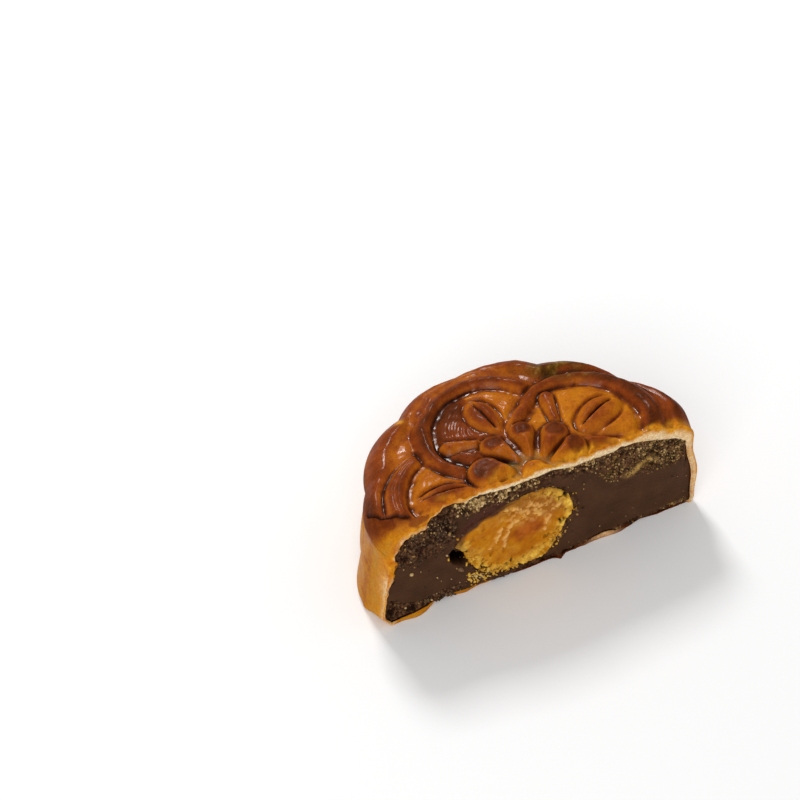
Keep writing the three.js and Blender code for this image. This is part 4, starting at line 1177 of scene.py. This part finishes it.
# Crumbs that the knife dragged over the cut face: numbers, radii in mm, and how they gather. Single
# ones are (x, z, radius, tint). Colours run from dark to pale.
crumbs = dict(
    pastry=dict(name="pastry_crumbs", slot="crust", count=1150, small=0.10, large=0.46, seed=7,
                finish="broken_pastry_crumb", colours=("#866230", "#be9e6a", "#dcbe88"), roughness=0.85,
                single=((-31.7, 13.2, 0.45, 0.9), (-33.7, 15.8, 0.22, 0.6), (-29.6, 12.8, 0.2, 0.6),
                        (-24.8, 7.4, 0.2, 0.8), (-22.3, 6.6, 0.2, 0.8), (-20.3, 4.5, 0.22, 0.8))),
    bean=dict(name="bean_paste_crumbs", slot="red_bean_paste", count=640, small=0.16, large=0.42, seed=11,
              finish="broken_bean_paste", colours=("#2a180c", "#5c4430", "#785a3e"), roughness=0.75,
              single=((-20.3, 8.7, 0.75, 1.0),)),
    yolk=dict(name="egg_yolk_crumbs", slot="egg_yolk", count=300, small=0.14, large=0.42, seed=13,
              finish="broken_egg_yolk", colours=("#b0740c", "#dcac40", "#c8b078"), roughness=0.6,
              single=((-18.0, 4.3, 0.4, 0.6), (-23.1, 13.1, 0.35, 0.6))),
)
drawn = dict(count=60000, x=(-36, 36), z=(0.8, 30), clear=0.5)  # places to choose from, clear of the ends


def crumbWeight(kind, x, z):
    # How thickly crumbs of a kind lie at a place on the cut face: pastry where it is dusted, bean where
    # the paste is rough, yolk round the yolk's lower and right rim and in a heap below it.
    patches = smoothStep(-0.1, 0.5, noise((x, z, 0), 2.6, 111, 2))
    reach = yolkShare(x, z)
    onPaste = smoothStep(1.0, 1.03, reach)
    belowCrust = pasteTop(x) - z > 0.3
    if kind == "pastry":
        return onPaste * (dusting(x, z) + 0.0007 * belowCrust)
    if kind == "bean":
        return onPaste * belowCrust * (roughShare(x, z) * (0.3 + patches) * (1 + 1.5 * (x < -18)) + 0.02)
    around = patches * smoothStep(0.7, 0.9, reach) * (1 - smoothStep(1.02, 1.12, reach))
    around = around * (yolkSector(x, z, -100, 80) + 0.7 * yolkSector(x, z, 5, 50))
    return np.maximum(around, 1.2 * bell(np.hypot((x + 15.2) / 3.4, (z - 4.2) / 2.0) ** 1.5))


def twentySided():
    # Corners and faces of a regular solid with twenty faces: three golden rectangles set across each
    # other, and every three corners that are all neighbours, turned so that they point outwards.
    golden = (1 + 5 ** 0.5) / 2
    corner = np.array([(s, t * golden, 0) for s in (-1, 1) for t in (-1, 1)])
    corner = np.concatenate([corner, corner[:, [2, 0, 1]], corner[:, [1, 2, 0]]]) / np.hypot(1, golden)
    near = np.abs(np.linalg.norm(corner[:, None] - corner[None], axis=-1) - 2 / np.hypot(1, golden)) < 0.01
    i, j, k = np.array(list(itertools.combinations(range(12), 3))).T
    i, j, k = np.stack([i, j, k])[:, near[i, j] & near[j, k] & near[i, k]]
    outward = np.einsum("fi,fi->f", np.cross(corner[j] - corner[i], corner[k] - corner[i]), corner[i]) > 0
    return corner, np.where(outward[:, None], np.stack([i, j, k], -1), np.stack([k, j, i], -1))


def crumbMesh(kind):
    # Each crumb is a twenty-sided lump, stretched, dented and turned at random, and half sunk in the face.
    settings = crumbs[kind]
    chance = np.random.default_rng(settings["seed"])
    x, z = (chance.uniform(*drawn[axis], drawn["count"]) for axis in ("x", "z"))
    left, right = pasteEnds(z)
    weight = crumbWeight(kind, x, z) * (x > left + drawn["clear"]) * (x < right - drawn["clear"])
    chosen = chance.choice(x.size, settings["count"], replace=False, p=weight / weight.sum())
    radius = mix(settings["small"], settings["large"], chance.random(settings["count"]) ** 2.2)  # most are small
    tint = chance.random(settings["count"])
    x, z, radius, tint = np.concatenate([np.stack([x[chosen], z[chosen], radius, tint]),
                                         np.array(settings["single"]).T], 1)
    y = np.minimum(pasteFront(x, z)[0], np.where(yolkShare(x, z) < 1.0, yolkFront(x, z)[0], 9.0)) - 0.25 * radius
    if kind == "yolk":  # paler in the heap below the yolk
        tint = 0.6 * tint + 0.5 * bell(np.hypot((x + 15.2) / 4.0, (z - 4.0) / 2.4))
    if kind == "pastry":  # darker and finer at the right
        toRight = smoothStep(8, 16, x)
        tint = np.clip(tint - 0.35 * toRight - 0.25 * (1 - smoothStep(0.0, 0.15, dusting(x, z))), 0, 1)
        radius = radius * (1 - 0.25 * toRight)

    n = x.size
    turn = chance.normal(size=(n, 4))
    w, i, j, k = (turn / np.linalg.norm(turn, axis=1)[:, None]).T
    matrix = np.stack([1 - 2 * (j * j + k * k), 2 * (i * j - k * w), 2 * (i * k + j * w),
                       2 * (i * j + k * w), 1 - 2 * (i * i + k * k), 2 * (j * k - i * w),
                       2 * (i * k - j * w), 2 * (j * k + i * w), 1 - 2 * (i * i + j * j)], -1).reshape(n, 3, 3)
    corner, triples = twentySided()
    lumps = corner[None] * chance.uniform(0.55, 1.2, (n, 12, 1)) * chance.uniform(0.5, 1.4, (n, 1, 3))
    points = np.einsum("nij,npj->npi", matrix, lumps) * radius[:, None, None] + np.stack([x, y, z], -1)[:, None]
    faces = (triples[None] + 12 * np.arange(n)[:, None, None]).reshape(-1, 3)
    return points.reshape(-1, 3), [faces], dict(tint=np.repeat(tint, 12))


def crumbMaterial(name, colours, roughness):
    # Loose crumbs of one kind: broken, matt, each a little lighter or darker than the next, with grit 0.25 mm
    # apart on their broken sides.
    material, tree, coords, mask = startMaterial(name, ("tint",))
    grit = addNode(tree, "TexNoise", {"Vector": coords, "Scale": perMetre / 0.25, "Detail": 3})
    each = addNode(tree, "MapRange", {0: grit, 1: 0.3, 2: 0.7, 3: -0.15, 4: 0.15})
    each = addNode(tree, "Math", {0: mask["tint"], 1: each}, operation="ADD")
    colour = addNode(tree, "ValToRGB", {0: each}, ((0.0, colours[0]), (1.0, colours[2]), (0.65, colours[1])))
    bump = addNode(tree, "Bump", {"Height": grit, "Strength": 0.6, "Distance": 0.08 / perMetre})
    setInputs(tree, tree.nodes["Principled BSDF"], {
        "Base Color": colour, "Roughness": roughness, "IOR": 1.42, "Specular IOR Level": 0.25, "Normal": bump})
    return material


for kind, settings in crumbs.items():
    material = crumbMaterial(settings["finish"], settings["colours"], settings["roughness"])
    makePiece(settings["name"], *crumbMesh(kind), material, None, settings["slot"])
print("pieces ready")

# The room: a white paper floor, two soft lamps (metres and watts), and soft light from all round.
# Gloss sees much less of that than matt surfaces do, as in a tent of dark cloth.
floorHalf = 3.0
middle = (0, 0, 0.015)  # of the part, where the lamps look
lights = dict(
    window=dict(place=(0.06, 0.45, 0.50), size=0.16, power=2.6),
    front=dict(place=(-0.50, -0.60, 0.50), size=0.6, power=4.0),
)
tent = dict(matt=0.5, gloss=0.06, seen=1.0)


def stageFloor():
    # A flat square, far wider than the part, of matt white paper.
    mesh = bpy.data.meshes.new("pale_floor")
    corners = [(x * floorHalf, y * floorHalf, 0) for x, y in ((-1, -1), (1, -1), (1, 1), (-1, 1))]
    mesh.from_pydata(corners, [], [(0, 1, 2, 3)])
    floor = bpy.data.objects.new("pale_floor", mesh)
    bpy.context.scene.collection.objects.link(floor)
    material = bpy.data.materials.new("matt_white_paper")
    material.use_nodes = True
    tree = material.node_tree
    setInputs(tree, tree.nodes["Principled BSDF"], {"Base Color": "#f4f4f4", "Roughness": 0.9})
    mesh.materials.append(material)


def aimed(place, target):
    # Matrix of something at a place whose -Z looks at the target and whose Y is up.
    return Matrix.Translation(place) @ (Vector(target) - Vector(place)).to_track_quat("-Z", "Y").to_matrix().to_4x4()


def stageLights():
    # Square lamps, and a white world whose strength depends on what kind of ray sees it.
    for name, light in lights.items():
        data = bpy.data.lights.new(name, "AREA")
        data.shape, data.size, data.energy = "SQUARE", light["size"], light["power"]
        lamp = bpy.data.objects.new(name, data)
        lamp.matrix_world = aimed(light["place"], middle)
        bpy.context.scene.collection.objects.link(lamp)
    world = bpy.data.worlds.new("studio")
    world.use_nodes = True
    tree = world.node_tree
    glossy = addNode(tree, "LightPath", out="Is Glossy Ray")
    strength = addNode(tree, "Mix", {0: glossy, 2: tent["matt"], 3: tent["gloss"]})
    strength = addNode(tree, "Mix", {0: glossy.node.outputs["Is Camera Ray"], 2: strength, 3: tent["seen"]})
    setInputs(tree, tree.nodes["Background"], {"Color": "#ffffff", "Strength": strength})
    bpy.context.scene.world = world
    bpy.context.scene.view_settings.view_transform = "Standard"


# The camera stands where the photograph's perspective puts it: place in mm, directions in degrees.
view = dict(place=(-201.87, -306.616, 414.616), azimuth=-28.607, elevation=45.0, focalPixels=2600, imagePixels=800)


def stageCamera():
    # Looks back along the view's direction. Its lens gives the focal length in pixels over the picture.
    data = bpy.data.cameras.new("photo_view")
    data.sensor_width = 36
    data.lens = data.sensor_width * view["focalPixels"] / view["imagePixels"]
    data.clip_start, data.clip_end = 0.01, 20
    camera = bpy.data.objects.new("photo_view", data)
    place = (np.array(view["place"]) + cutToPart) / perMetre
    turn, up = np.radians(view["azimuth"]), np.radians(view["elevation"])
    back = Vector((np.sin(turn) * np.cos(up), -np.cos(turn) * np.cos(up), np.sin(up)))
    camera.matrix_world = aimed(place, Vector(place) - back)
    bpy.context.scene.collection.objects.link(camera)
    bpy.context.scene.camera = camera


stageFloor()
stageLights()
stageCamera()
print("stage ready")
